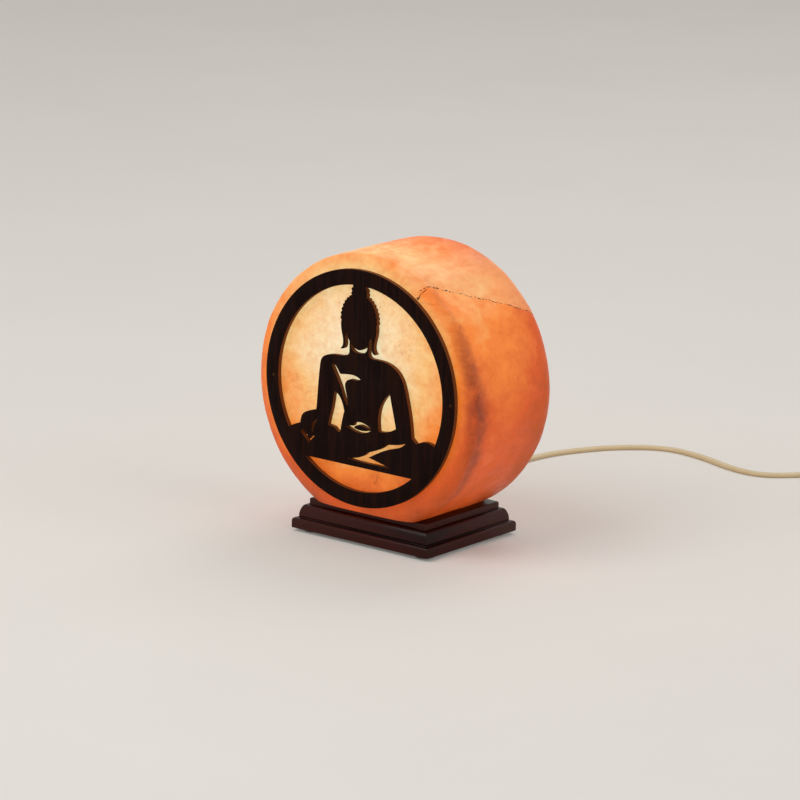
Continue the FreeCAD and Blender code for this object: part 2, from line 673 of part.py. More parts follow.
for number, (x, z) in enumerate(PIN_PLACES):
    height = f"{RING_Z} + ({z})"
    gaps.append(cylinder(f"panel_pin_hole{number}", "pin_radius", "panel_thick + 1",
                         x=x, y=f"{PANEL_FRONT} - 0.5", z=height, turn=ALONG_Y))
    gaps.append(cylinder(f"panel_head_hole{number}", "pin_head_radius", "pin_radius + 0.5",
                         x=x, y=f"{PANEL_FRONT} - 0.5", z=height, turn=ALONG_Y))
    panel_pins.append(fuse(
        f"panel_pin{number}",
        cylinder(f"pin_head{number}", "pin_head_radius", "pin_radius",
                 x=x, y=PANEL_FRONT, z=height, turn=ALONG_Y),
        cylinder(f"pin_shank{number}", "pin_radius", "pin_length",
                 x=x, y=PANEL_FRONT, z=height, turn=ALONG_Y)))
node(cut("fretwork", figure, *gaps), "front_panel")
node(group("brads", panel_pins), "panel_pins")

DAB_RING = "(ring_radius - 0.6 * ring_band)"
DABS = [(f"{DAB_RING} * cos({angle})", f"{DAB_RING} * sin({angle})")
        for angle in (20, 70, 110, 160, 215, 245, 295, 325)]
DABS += [("0", "-0.5 * ring_radius"), ("0", "0.17 * ring_radius"), ("0", "0.6 * ring_radius")]
node(group("glue_dabs", [
    cylinder(f"glue_dab{number}", "dab_radius", "glue_gap",
             x=x, y=PANEL_BACK, z=f"{RING_Z} + {z}", turn=ALONG_Y)
    for number, (x, z) in enumerate(DABS)
]), "panel_adhesive")

# ---- bracket under the foot ------------------------------------------------
CLIP_ANGLES = (30, 150, 270)
RIVET_RING = "(clip_foot_radius + 2.3)"
RIVETS = [(f"{RIVET_RING} * cos({angle})", f"base_shift + {RIVET_RING} * sin({angle})")
          for angle in CLIP_ANGLES]
plate_holes = [cylinder("plate_hole", "nipple_radius + 0.2", "plate_thick + 2",
                        y="base_shift", z=f"{PLATE_TOP} - plate_thick - 1")]
clips = []
rivets = []
for number, (angle, (x, y)) in enumerate(zip(CLIP_ANGLES, RIVETS)):
    low = f"{PLATE_TOP} - plate_thick - 0.8"
    plate_holes.append(cylinder(f"plate_rivet_hole{number}", "rivet_radius + 0.1", "plate_thick + 2",
                                x=x, y=y, z=f"{PLATE_TOP} - plate_thick - 1"))
    strip = padded(
        f"clip_strip{number}", "XZ_Plane",
        *lines(
            ("clip_foot_radius", "0"),
            ("hole_radius - 2.6", "0"),
            ("hole_radius - 0.6", "5"),
            ("hole_radius - 1.6", "8.8"),
            ("hole_radius - 1.6 - clip_thick", "8.6"),
            ("hole_radius - 0.6 - 1.1 * clip_thick", "5"),
            ("hole_radius - 2.6 - 0.4 * clip_thick", "clip_thick"),
            ("clip_foot_radius", "clip_thick"),
        ),
        "clip_width", y="base_shift", z=PLATE_TOP,
        turn=Rotation(Vector(0, 0, 1), angle), both=True)
    clips.append(cut(f"clip{number}", strip,
                     cylinder(f"clip_rivet_hole{number}", "rivet_radius + 0.1", "4",
                              x=x, y=y, z=f"{PLATE_TOP} - 1")))
    rivets.append(fuse(
        f"rivet{number}",
        cylinder(f"rivet_body{number}", "rivet_radius", "plate_thick + clip_thick + 1.6",
                 x=x, y=y, z=low),
        cylinder(f"rivet_head{number}", "rivet_radius + 0.9", "0.8", x=x, y=y, z=low),
        cylinder(f"rivet_tail{number}", "rivet_radius + 0.7", "0.8",
                 x=x, y=y, z=f"{PLATE_TOP} + clip_thick")))
plate_disc = cylinder("plate_disc", "plate_radius", "plate_thick",
                      y="base_shift", z=f"{PLATE_TOP} - plate_thick")
node(cut("bracket", plate_disc, *plate_holes), "holder_plate")
node(group("clips", clips), "spring_clips")
node(group("rivets", rivets), "clip_rivets")

NIPPLE_BOTTOM = f"({PLATE_TOP} - plate_thick - nut_height)"
node(cut("threaded_tube",
         cylinder("tube_outside", "nipple_radius", "plate_thick + 2 * nut_height + holder_floor + 0.5",
                  y="base_shift", z=NIPPLE_BOTTOM),
         cylinder("tube_bore", "nipple_bore", "60", y="base_shift", z=f"{NIPPLE_BOTTOM} - 10")),
     "holder_nipple")
nuts = []
for number, low in enumerate((NIPPLE_BOTTOM, f"{PLATE_TOP} + holder_floor")):
    hexagon = doc.addObject("Part::Prism", f"nut_hexagon{number}")
    hexagon.Polygon = 6
    bind(hexagon, Circumradius="nut_flats / sqrt(3)", Height="nut_height")
    place(hexagon, y="base_shift", z=low)
    nuts.append(cut(f"nut{number}", hexagon,
                    cylinder(f"nut_bore{number}", "nipple_radius + 0.1", "nut_height + 2",
                             y="base_shift", z=f"{low} - 1")))
node(group("nuts", nuts), "lock_nuts")

# ---- lamp holder -----------------------------------------------------------
INNER = "(holder_radius - holder_wall)"
LEDGE_UP = "(holder_cap_height - spigot_height - 0.3 - core_flange)"
node(turned(
    "holder_cap",
    ("nipple_radius + 0.1", "0"),
    [
        ("line", "holder_radius - 3", "0"),
        ("arc", "holder_radius", "3", "3", 1),
        ("line", "holder_radius", "holder_cap_height"),
        ("line", INNER, "holder_cap_height"),
        ("line", INNER, LEDGE_UP),
        ("line", "core_radius + 0.3", LEDGE_UP),
        ("line", "core_radius + 0.3", "holder_floor"),
        ("line", "nipple_radius + 0.1", "holder_floor"),
        ("line", "nipple_radius + 0.1", "0"),
    ],
    y="base_shift", z=PLATE_TOP), "holder_cap")
node(turned(
    "holder_sleeve",
    ("holder_radius", "0"),
    [
        ("line", "holder_radius", "sleeve_height - 1.5"),
        ("arc", "holder_radius - 1.5", "sleeve_height", "1.5", 1),
        ("line", "shell_radius + 1.95", "sleeve_height"),
        ("line", "shell_radius + 1.95", "sleeve_height - 1.6"),
        ("line", f"{INNER} - 1", "sleeve_height - 1.6"),
        ("line", f"{INNER} - 1", "-spigot_height"),
        ("line", f"{INNER} - 0.1", "-spigot_height"),
        ("line", f"{INNER} - 0.1", "0"),
        ("line", "holder_radius", "0"),
    ],
    y="base_shift", z=CAP_TOP), "holder_sleeve")
core_block = turned(
    "core_block",
    ("0", "0"),
    [
        ("line", "core_radius", "0"),
        ("line", "core_radius", "3"),
        ("line", f"{INNER} - 0.3", "3"),
        ("line", f"{INNER} - 0.3", "3 + core_flange"),
        ("line", "core_radius", "3 + core_flange"),
        ("line", "core_radius", "core_height"),
        ("line", "0", "core_height"),
        ("line", "0", "0"),
    ],
    y="base_shift", z=CORE_BOTTOM)
core_holes = []
grubs = []
WIRE_X = "0.55 * core_radius"
for side, sign in (("left", -1), ("right", 1)):
    core_holes.append(cylinder(f"{side}_wire_hole", "core_wire + 0.2", "5.5",
                               x=f"{sign} * {WIRE_X}", y="base_shift", z=f"{CORE_BOTTOM} - 0.5"))
    near = WIRE_X if sign == 1 else f"-({WIRE_X}) - core_radius"
    core_holes.append(cylinder(f"{side}_grub_hole", "1.2", "core_radius",
                               x=near, y="base_shift", z=f"{CORE_BOTTOM} + 1.6", turn=ALONG_X))
    near = f"{WIRE_X} + core_wire + 0.2"
    far = "core_radius - 0.1"
    start = near if sign == 1 else f"-({far})"
    grubs.append(cylinder(f"{side}_grub", "1.05", f"{far} - ({near})",
                          x=start, y="base_shift", z=f"{CORE_BOTTOM} + 1.6", turn=ALONG_X))
node(cut("core", core_block, *core_holes), "holder_core")
node(group("grubs", grubs), "terminal_screws")


def threaded(root, crest, low, high):
    """The zigzag of a rolled thread, as line steps going up."""
    ridges = int((mm(high) - mm(low)) / mm("thread_pitch"))
    steps = []
    for number in range(ridges):
        start = f"{low} + {number} * thread_pitch"
        steps += [("line", root, start), ("line", crest, f"{start} + thread_pitch / 2")]
    return steps + [("line", root, f"{low} + {ridges} * thread_pitch")]


def reverse(steps):
    return list(reversed(steps))


def dome(reach, rise):
    """Radius of the ball whose cap is so wide from its axis and so high."""
    return f"(({reach}) ^ 2 + {rise} ^ 2) / 2 / {rise}"


SHELL_OUT = "(shell_radius + shell_wall)"
node(turned(
    "screw_shell",
    ("shell_radius - 1.8", "0"),
    [("line", SHELL_OUT, "0")]
    + threaded(SHELL_OUT, f"{SHELL_OUT} + 0.4", "1", "shell_height - 1")
    + [("line", SHELL_OUT, "shell_height"), ("line", "shell_radius", "shell_height")]
    + reverse(threaded("shell_radius", "shell_radius + 0.4", "1", "shell_height - 1"))
    + [("line", "shell_radius", "0.5"), ("line", "shell_radius - 1.8", "0.5"),
       ("line", "shell_radius - 1.8", "0")],
    y="base_shift", z=CORE_TOP), "screw_shell")
node(turned(
    "centre_contact",
    ("0", "0"),
    [
        ("line", "2.8", "0"),
        ("line", "2.8", "0.5"),
        ("line", "2.2", "0.7"),
        ("arc", "0", "contact_height", dome("2.2", "(contact_height - 0.7)"), 1),
        ("line", "0", "0"),
    ],
    y="base_shift", z=CORE_TOP), "centre_contact")

# ---- bulb ------------------------------------------------------------------
CAP_LOW = "4.6"
CAP_SKIRT = "(4.6 + 9)"
CAP_HIGH = "(4.6 + 15)"
CREST = "cap_radius"
ROOT = "(cap_radius - 0.45)"
node(turned(
    "bulb_tip",
    ("0", "0"),
    [("arc", "2.2", "1.2", dome("2.2", "1.2"), 1), ("line", "0", "1.2"), ("line", "0", "0")],
    y="base_shift", z=BULB_Z), "bulb_tip")
node(turned(
    "bulb_insulator",
    ("0", "1.2"),
    [("line", "2.6", "1.2"), ("line", "5.6", "3.9"), ("line", "5.6", CAP_LOW),
     ("line", "0", CAP_LOW), ("line", "0", "1.2")],
    y="base_shift", z=BULB_Z), "bulb_insulator")
node(turned(
    "bulb_cap",
    ("4.4", CAP_LOW),
    [("line", f"{ROOT} - 0.2", CAP_LOW)]
    + threaded(ROOT, CREST, f"{CAP_LOW} + 0.4", CAP_SKIRT)
    + [("line", CREST, f"{CAP_SKIRT} + 0.6"), ("line", CREST, CAP_HIGH),
       ("line", f"{CREST} - cap_wall", CAP_HIGH),
       ("line", f"{CREST} - cap_wall", f"{CAP_SKIRT} + 0.6")]
    + reverse(threaded(f"{ROOT} - cap_wall", f"{CREST} - cap_wall", f"{CAP_LOW} + 0.8", CAP_SKIRT))
    + [("line", "4.4", f"{CAP_LOW} + 0.5"), ("line", "4.4", CAP_LOW)],
    y="base_shift", z=BULB_Z), "bulb_cap")


def glass_point(radius, height, across, up):
    """A point of the glass: shares of its radius and length, then the way in to its inside."""
    outside = (f"{radius} * bulb_radius", f"{height} * bulb_length")
    inside = (f"{outside[0]} - {across} * glass_wall", f"{outside[1]} - ({up}) * glass_wall")
    return outside, inside


SHOULDER, SHOULDER_IN = glass_point(0.629, 0.340, 0.714, -0.700)
BELLY, BELLY_IN = glass_point(1.0, 0.512, 0.999, 0.035)
TAPER, TAPER_IN = glass_point(0.817, 0.763, 0.974, 0.225)
NOSE, NOSE_IN = glass_point(0.331, 0.968, 0.836, 0.549)
NECK_TOP = f"({CAP_HIGH} + 1.6)"
NECK_LOW = f"({CAP_SKIRT} + 0.8)"
node(turned(
    "bulb_glass",
    ("bulb_neck", NECK_LOW),
    [
        ("line", "bulb_neck", NECK_TOP),
        ("flow", *SHOULDER),
        ("flow", *BELLY),
        ("flow", *TAPER),
        ("flow", *NOSE),
        ("arc", "0", "bulb_length", dome(NOSE[0], f"(bulb_length - {NOSE[1]})"), 1),
        ("line", "0", "bulb_length - glass_wall"),
        ("arc", *NOSE_IN, dome(NOSE_IN[0], f"(bulb_length - glass_wall - ({NOSE_IN[1]}))"), -1),
        ("flow", *TAPER_IN),
        ("flow", *BELLY_IN),
        ("flow", *SHOULDER_IN),
        ("flow", "bulb_neck - glass_wall", NECK_TOP),
        ("line", "bulb_neck - glass_wall", NECK_LOW),
        ("line", "bulb_neck", NECK_LOW),
    ],
    y="base_shift", z=BULB_Z), "bulb_glass")
STEM_TOP = "0.42 * bulb_length"
node(turned(
    "bulb_stem",
    ("0", NECK_LOW),
    [
        ("line", "bulb_neck - glass_wall - 0.2", NECK_LOW),
        ("line", "bulb_neck - glass_wall - 0.2", f"{NECK_LOW} + 0.8"),
        ("line", "2.6", f"{NECK_LOW} + 6"),
        ("line", "2.2", f"{STEM_TOP} - 1"),
        ("line", "1.4", STEM_TOP),
        ("line", "0", STEM_TOP),
        ("line", "0", NECK_LOW),
    ],
    y="base_shift", z=BULB_Z), "bulb_stem")


# ---- leads -----------------------------------------------------------------
def rounded(name, points, radius=None):
    """Straight runs joined by tangent arcs, as one wire; prints the arcs' radii."""
    edges = []
    radii = []
    here = points[0]
    for before, corner, after in zip(points, points[1:], points[2:]):
        back = before - corner
        ahead = after - corner
        half_turn = (math.pi - back.getAngle(ahead)) / 2
        reach = 0.45 * min(back.Length, ahead.Length)
        if radius:
            reach = radius * math.tan(half_turn)
        start = corner + back.normalize() * reach
        end = corner + ahead.normalize() * reach
        edges += [Part.LineSegment(here, start), arc_through(start, back * -1, end)]
        radii.append(reach / math.tan(half_turn))
        here = end
    edges.append(Part.LineSegment(here, points[-1]))
    print(f"{name}: radii {', '.join(f'{each:.0f}' for each in radii)} mm")
    return Part.Wire([edge.toShape() for edge in edges])


def flat_section(at, heading, across):
    """The flat twin lead's outline, square to heading, its width along across."""
    side = Vector(across).normalize()
    up = side.cross(heading).normalize()
    half = mm("(lead_width - lead_thick) / 2")
    edge = mm("lead_thick / 2")
    right = at + side * half
    left = at - side * half
    return Part.Wire([
        Part.makeLine(left - up * edge, right - up * edge),
        Part.Arc(right - up * edge, right + side * edge, right + up * edge).toShape(),
        Part.makeLine(right + up * edge, left + up * edge),
        Part.Arc(left + up * edge, left - side * edge, left - up * edge).toShape(),
    ])


def round_section(at, heading, radius):
    return Part.Wire(Part.makeCircle(radius, at, heading))


def swept(label, path, section, level=False):
    """A lead or wire as one solid; prints its volume against section times length."""
    pipe = Part.BRepOffsetAPI.MakePipeShell(path)
    if level:
        pipe.setBiNormalMode(Vector(0, 0, 1))
    pipe.add(section)
    pipe.build()
    pipe.makeSolid()
    tube = doc.addObject("Part::Feature", label)
    tube.Shape = pipe.shape()
    expected = Part.Face(section).Area * path.Length
    print(f"{label}: {path.Length:.0f} mm long, volume {tube.Shape.Volume:.0f} of {expected:.0f} mm3")
    return tube


def flat_lead(label, points, across=Vector(1, 0, 0)):
    """A stretch of the flat lead that lies on its broad side."""
    return swept(label, rounded(label, points),
                 flat_section(points[0], points[1] - points[0], across), level=True)


ON_TABLE = mm("lead_thick / 2")
centre_y = mm("base_shift")
exit_y = mm(BASE_BACK)
exit_z = mm("exit_height")
jacket_top = mm(f"{PLATE_TOP} + holder_floor + 2")
groove_route = [Vector(0, centre_y, jacket_top), Vector(0, centre_y, exit_z), Vector(0, exit_y, exit_z)]
node(swept("lead_in_groove", rounded("lead_in_groove", groove_route, mm("lead_bend")),
           flat_section(groove_route[0], Vector(0, 0, -1), Vector(1, 0, 0))), "groove_lead")

wire_x = mm(WIRE_X)
core_split = mm("lead_width / 4")
wires = []
for side, sign in (("left", -1), ("right", 1)):
    route = [
        Vector(sign * core_split, centre_y, jacket_top),
        Vector(sign * core_split, centre_y, jacket_top + 1.5),
        Vector(sign * wire_x, centre_y, mm(CORE_BOTTOM) - 2.5),
        Vector(sign * wire_x, centre_y, mm(CORE_BOTTOM) + 4.5),
    ]
    wires.append(swept(f"{side}_wire", rounded(f"{side}_wire", route),
                       round_section(route[0], route[1] - route[0], mm("core_wire"))))
node(group("wires", wires), "inner_wires")

# The lead's way over the table, from the grommet to the switch, as the eye
# follows it round behind the lamp and off to the right.
switch_left = mm("switch_x - switch_length / 2")
switch_right = mm("switch_x + switch_length / 2")
switch_y = mm("switch_y")
entry_z = mm("switch_entry")
inside = mm("lead_inside")
ROUTE_TO_SWITCH = [
    Vector(0, exit_y, exit_z),
    Vector(0, exit_y + 28, exit_z),
    Vector(-8, exit_y + 46, ON_TABLE + 1.0),
    Vector(-22, 112, ON_TABLE),
    Vector(-36, 134, ON_TABLE),
    Vector(-46, 158, ON_TABLE),
    Vector(-49, 184, ON_TABLE),
    Vector(-47, 210, ON_TABLE),
    Vector(-40, 231, ON_TABLE),
    Vector(-25, 259, ON_TABLE),
    Vector(2, 281.5, ON_TABLE),
    Vector(34, 278, ON_TABLE),
    Vector(66, 266, ON_TABLE),
    Vector(90, 265, ON_TABLE),
    Vector(107.5, 281.5, ON_TABLE),
    Vector(117, 298, ON_TABLE + 0.3),
    Vector(128.5, 308, ON_TABLE + 2.6),
    Vector(switch_left - 5.5, switch_y, entry_z),
    Vector(switch_left + inside, switch_y, entry_z),
]
node(flat_lead("lead_to_switch", ROUTE_TO_SWITCH), "cord_lead")

coil_x = mm("coil_x")
coil_y = mm("coil_y")
coil_outer = mm("coil_inner + coil_layer_turns * coil_pitch")
coil_low = mm("coil_floor")
stub = mm("lead_width")
coil_side = coil_x + coil_outer
ROUTE_TO_COIL = [
    Vector(switch_right - inside, switch_y, entry_z),
    Vector(switch_right + 5, switch_y, entry_z),
    Vector(switch_right + 19.5, switch_y - 4.5, entry_z - 0.8),
    Vector(coil_side - 4.1, switch_y - 14, entry_z - 2.1),
    Vector(coil_side, switch_y - 27, coil_low + 0.3),
    Vector(coil_side + 0.6, coil_y + 30, coil_low),
    Vector(coil_side, coil_y + stub + 9, coil_low),
    Vector(coil_side, coil_y + stub, coil_low),
]
node(flat_lead("lead_to_coil", ROUTE_TO_COIL, across=Vector(0, 1, 0)), "cord_tail")


# ---- coil ------------------------------------------------------------------
def coil_point(turns):
    """Centre line of the coil: in along the lower layer, out along the upper one."""
    reversal = mm("coil_layer_turns")
    radius = mm("coil_inner") + abs(reversal - turns) * mm("coil_pitch")
    climbed = min(max(turns - reversal + 0.25, 0.0) / 0.5, 1.0)
    angle = -2 * math.pi * turns
    return Vector(coil_x + radius * math.cos(angle), coil_y + radius * math.sin(angle),
                  coil_low + climbed * mm("coil_lift"))


def coil_heading(turns):
    """Level direction of the coil's centre line, as the spiral runs."""
    angle = -2 * math.pi * turns
    radius = mm("coil_inner") + abs(mm("coil_layer_turns") - turns) * mm("coil_pitch")
    if turns in (0, 2 * mm("coil_layer_turns")):
        drift = 0
    elif abs(turns - mm("coil_layer_turns")) < 1e-9:
        drift = 0
    else:
        drift = math.copysign(mm("coil_pitch"), turns - mm("coil_layer_turns"))
    outward = Vector(math.cos(angle), math.sin(angle), 0)
    onward = Vector(math.sin(angle), -math.cos(angle), 0)
    return (onward * (2 * math.pi * radius) + outward * drift).normalize()


def biarc(start, heading, end, leaving):
    """Two arcs that join start to end and keep both directions."""
    chord = end - start
    both = heading + leaving
    spread = 2 * (1 - heading.dot(leaving))
    reach = (math.sqrt(chord.dot(both) ** 2 + spread * chord.dot(chord)) - chord.dot(both)) / spread
    middle = (start + end + (heading - leaving) * reach) * 0.5
    second = arc_through(end, leaving * -1, middle).toShape()
    return [arc_through(start, heading, middle).toShape(), second]


quarters = round(8 * mm("coil_layer_turns"))
coil_edges = [Part.makeLine(coil_point(0) + Vector(0, stub, 0), coil_point(0))]
for quarter in range(quarters):
    before = quarter / 4
    after = before + 0.25
    coil_edges += biarc(coil_point(before), coil_heading(before), coil_point(after), coil_heading(after))
coil_end = coil_point(quarters / 4)
coil_edges.append(Part.makeLine(coil_end, coil_end - Vector(0, stub, 0)))
coil_start = coil_point(0) + Vector(0, stub, 0)
coil_path = Part.Wire(Part.__sortEdges__(coil_edges))
node(swept("coiled_lead", coil_path,
           flat_section(coil_start, Vector(0, -1, 0), Vector(1, 0, 0))), "cord_coil")


def least_coil_gap(steps_per_turn=48):
    """Least gap between two turns, from points across the lead's flat section."""
    half = mm("(lead_width - lead_thick) / 2")
    strands = []
    for number in range(round(2 * mm("coil_layer_turns")) * steps_per_turn + 1):
        turns = number / steps_per_turn
        angle = -2 * math.pi * turns
        outward = Vector(math.cos(angle), math.sin(angle), 0)
        strands.append([coil_point(turns) + outward * (half * share / 4) for share in range(-4, 5)])
    least = 1e9
    for first in range(len(strands)):
        for second in range(first + steps_per_turn // 2, len(strands)):
            if (second - first + 1) % steps_per_turn > 2:
                continue
            for a in strands[first]:
                for b in strands[second]:
                    least = min(least, (a - b).Length)
    return least - mm("lead_thick")


print(f"cord_coil: least gap to itself {least_coil_gap():.2f} mm")

mains_axis = mm(MAINS_Z)
mains_x = mm("mains_x")
relief_end = mm("mains_y + mains_relief")
ROUTE_TO_PLUG = [
    coil_end - Vector(0, stub, 0),
    coil_end - Vector(0, stub + 11, 0),
    Vector(mains_x, relief_end + 4.5, mains_axis),
    Vector(mains_x, relief_end - 5, mains_axis),
]
node(flat_lead("lead_to_plug", ROUTE_TO_PLUG), "cord_end")

TIE_IN = "(coil_inner + coil_pitch / 4 - lead_width / 2 - 0.7)"
TIE_OUT = "(coil_inner + (coil_layer_turns - 0.25) * coil_pitch + lead_width / 2 + 0.3)"
TIE_LOW = "(coil_floor - lead_thick / 2 - 0.1)"
TIE_HIGH = "(coil_floor + coil_lift + lead_thick / 2 + 0.3)"
node(cut(
    "strap",
    box("strap_outside", "tie_width", f"{TIE_OUT} - {TIE_IN} + 2 * tie_wall",
        f"{TIE_HIGH} - {TIE_LOW} + 2 * tie_wall", x="coil_x",
        y=f"coil_y - ({TIE_OUT} + {TIE_IN}) / 2", z=f"{TIE_LOW} - tie_wall"),
    box("strap_inside", "tie_width + 2", f"{TIE_OUT} - {TIE_IN}", f"{TIE_HIGH} - {TIE_LOW}",
        x="coil_x", y=f"coil_y - ({TIE_OUT} + {TIE_IN}) / 2", z=TIE_LOW)), "coil_tie")

# ---- grommet and saddle ----------------------------------------------------
tail = doc.addObject("Part::Wedge", "grommet_taper")
bind(tail, Xmin="-4.6", Xmax="4.6", X2min="-3.5", X2max="3.5",
     Zmin="-3.4", Zmax="3.4", Z2min="-2.2", Z2max="2.2",
     Ymin="0", Ymax="grommet_tail - grommet_flange")
place(tail, y=f"{BASE_BACK} + grommet_flange", z="exit_height")
grommet = fuse(
    "grommet_rubber",
    box("grommet_root", "groove_width - 0.4", "grommet_root", "groove_depth - 0.4",
        y=f"{BASE_BACK} - grommet_root / 2", z="pad_height + 0.2"),
    box("grommet_flange", "groove_width + 4", "grommet_flange", "groove_depth + 3",
        y=f"{BASE_BACK} + grommet_flange / 2", z="0.5"),
    tail)
node(cut("grommet", grommet,
         box("grommet_slot", "lead_width + 0.2", "grommet_root + grommet_tail + 4",
             "lead_thick + 0.2", y=f"{BASE_BACK} + (grommet_tail - grommet_root) / 2",
             z="exit_height - lead_thick / 2 - 0.1")), "cord_grommet")

saddle_screws = []
saddle_holes = []
for number, sign in enumerate((-1, 1)):
    x = f"{sign} * saddle_reach"
    saddle_screws.append(fuse(
        f"saddle_screw{number}",
        cylinder(f"saddle_shank{number}", "saddle_screw", "saddle_thick + 6.8",
                 x=x, y=SADDLE_Y, z="pad_height - saddle_thick"),
        cylinder(f"saddle_head{number}", "saddle_screw + 0.9", "0.8",
                 x=x, y=SADDLE_Y, z="pad_height - saddle_thick - 0.8")))
    saddle_holes.append(cylinder(f"saddle_hole{number}", "saddle_screw + 0.1", "4",
                                 x=x, y=SADDLE_Y, z="pad_height - saddle_thick - 1"))
saddle = fuse(
    "saddle_strip",
    box("saddle_bar", "2 * saddle_reach + 6", "8", "saddle_thick", y=SADDLE_Y,
        z="pad_height - saddle_thick"),
    box("saddle_pad", "groove_width - 0.6", "8", "exit_height - lead_thick / 2 - 0.1 - pad_height",
        y=SADDLE_Y, z="pad_height"))
node(cut("saddle", saddle, *saddle_holes), "cord_saddle")
node(group("saddle_screws", saddle_screws), "saddle_screws")

# ---- bulb's wires ----------------------------------------------------------
bulb_z = mm(BULB_Z)
stem_top = bulb_z + mm(STEM_TOP)
spread = mm("0.4 * bulb_radius")
lead_ins = []
for side, sign in (("left", -1), ("right", 1)):
    route = [
        Vector(sign * 0.8, centre_y, stem_top + 0.1),
        Vector(sign * 1.2, centre_y, stem_top + 5),
        Vector(sign * spread, centre_y, stem_top + 17),
    ]
    lead_ins.append(swept(f"{side}_lead_in", rounded(f"{side}_lead_in", route),
                          round_section(route[0], route[1] - route[0], 0.3)))
node(group("lead_ins", lead_ins), "bulb_wires")
glow_z = stem_top + 17.4
filament_route = [
    Vector(-spread, centre_y, glow_z),
    Vector(-spread / 2, centre_y, glow_z + 3.2),
    Vector(0, centre_y, glow_z + 1.2),
    Vector(spread / 2, centre_y, glow_z + 3.2),
    Vector(spread, centre_y, glow_z),
]
node(swept("filament", rounded("filament", filament_route),
           round_section(filament_route[0], filament_route[1] - filament_route[0], 0.3)),
     "bulb_filament")

# ---- switch ----------------------------------------------------------------
def switch_plan(inset):
    """The switch from above: a long box with cut corners, inset from its outside."""
    x = f"(switch_length / 2 - {inset})"
    y = f"(switch_width / 2 - {inset})"
    corner = f"(switch_corner - 0.586 * {inset})"
    return lines((x, f"-{y} + {corner}"), (x, f"{y} - {corner}"), (f"{x} - {corner}", y),
                 (f"-{x} + {corner}", y), (f"-{x}", f"{y} - {corner}"), (f"-{x}", f"-{y} + {corner}"),
                 (f"-{x} + {corner}", f"-{y}"), (f"{x} - {corner}", f"-{y}"))


def in_switch(maker, name, *sizes, x="0", y="0", z="0", turn=None):
    """A shape whose x and y are counted from the switch's middle."""
    extra = {"turn": turn} if turn else {}
    return maker(name, *sizes, x=f"switch_x + {x}", y=f"switch_y + {y}", z=z, **extra)


POSTS = [("-post_x", "-post_y"), ("post_x", "post_y")]
CLAMPS = [(f"{sx} * clamp_x", f"{sy} * clamp_y") for sx in (-1, 1) for sy in (-1, 1)]
BLOCKS = ("-block_x", "block_x")
ARM_TOP = "(rocker_pivot - 4)"
lower_block = soften(
    padded("switch_lower_block", "XY_Plane", *switch_plan("0"), "switch_split",
           x="switch_x", y="switch_y"),
    "switch_lower_eased", 1.5, lambda edge: edge.BoundBox.ZMax < 0.01)
lower_hollow = padded("switch_lower_hollow", "XY_Plane", *switch_plan("switch_wall"), "switch_split",
                      x="switch_x", y="switch_y", z="switch_wall")
lower_extra = []
lower_cuts = []
for number, (x, y) in enumerate(POSTS):
    lower_extra.append(in_switch(cylinder, f"lower_post{number}", "2.3", "switch_split", x=x, y=y))
    lower_extra.append(in_switch(cylinder, f"lower_post_foot{number}", "3.3", "3.3", x=x, y=y))
    lower_cuts.append(in_switch(cylinder, f"lower_post_hole{number}", "1.25", "9", x=x, y=y, z="-0.5"))
    lower_cuts.append(in_switch(cylinder, f"lower_post_sink{number}", "2.5", "3.2", x=x, y=y, z="-1"))
for number, (x, y) in enumerate(CLAMPS):
    lower_extra.append(in_switch(cylinder, f"clamp_post{number}", "1.9", "switch_split - 1.1",
                                 x=x, y=y, z="1"))
    lower_cuts.append(in_switch(cylinder, f"clamp_post_hole{number}", "0.8", "8", x=x, y=y, z="3"))
for number, x in enumerate(BLOCKS):
    lower_extra.append(in_switch(box, f"block_stand{number}", "7", "6", "2.4", x=x, y="-block_y", z="1"))
    lower_cuts.append(in_switch(box, f"lead_notch{number}", "6", "lead_width + 0.2", "9",
                                x=f"{(-1, 1)[number]} * switch_length / 2",
                                z="switch_entry - lead_thick / 2 - 0.1"))
lower_extra.append(in_switch(box, "arm_stand", "3", "5.6", f"{ARM_TOP} - 1.8",
                             x="6", y="-block_y", z="1"))
lower_shell = cut("switch_lower_shell", lower_block, lower_hollow)
node(cut("switch_lower", fuse("switch_lower_filled", lower_shell, *lower_extra), *lower_cuts),
     "switch_base")

upper_block = soften(
    padded("switch_upper_block", "XY_Plane", *switch_plan("0"), "switch_height - switch_split",
           x="switch_x", y="switch_y", z="switch_split"),
    "switch_upper_eased", 2.2, lambda edge: edge.BoundBox.ZMin > mm("switch_height") - 0.01)
upper_hollow = padded("switch_upper_hollow", "XY_Plane", *switch_plan("switch_wall"),
                      "switch_height - switch_split", x="switch_x", y="switch_y",
                      z="switch_split - switch_wall")
upper_extra = []
upper_cuts = [
    in_switch(box, "rocker_window", "2 * rocker_half + 1.7", "rocker_width + 0.6", "4",
              z="switch_height - 3"),
    in_switch(cylinder, "rocker_bearing", "rocker_pin + 0.05", "17.4", y="-8.7", z="rocker_pivot",
              turn=ALONG_Y),
]
for number, (x, y) in enumerate(POSTS):
    upper_extra.append(in_switch(cylinder, f"upper_post{number}", "2.3", "6.2", x=x, y=y,
                                 z="switch_split"))
    upper_cuts.append(in_switch(cylinder, f"upper_post_hole{number}", "1.1", "5.6", x=x, y=y,
                                z="switch_split - 0.1"))
for number, sign in enumerate((-1, 1)):
    upper_extra.append(in_switch(box, f"rocker_lug{number}", "5.2", "4.4", "4.4",
                                 y=f"{sign} * (rocker_width / 2 + 2.8)", z="9.5"))
upper_shell = cut("switch_upper_shell", upper_block, upper_hollow)
node(cut("switch_upper", fuse("switch_upper_filled", upper_shell, *upper_extra), *upper_cuts),
     "switch_cover")

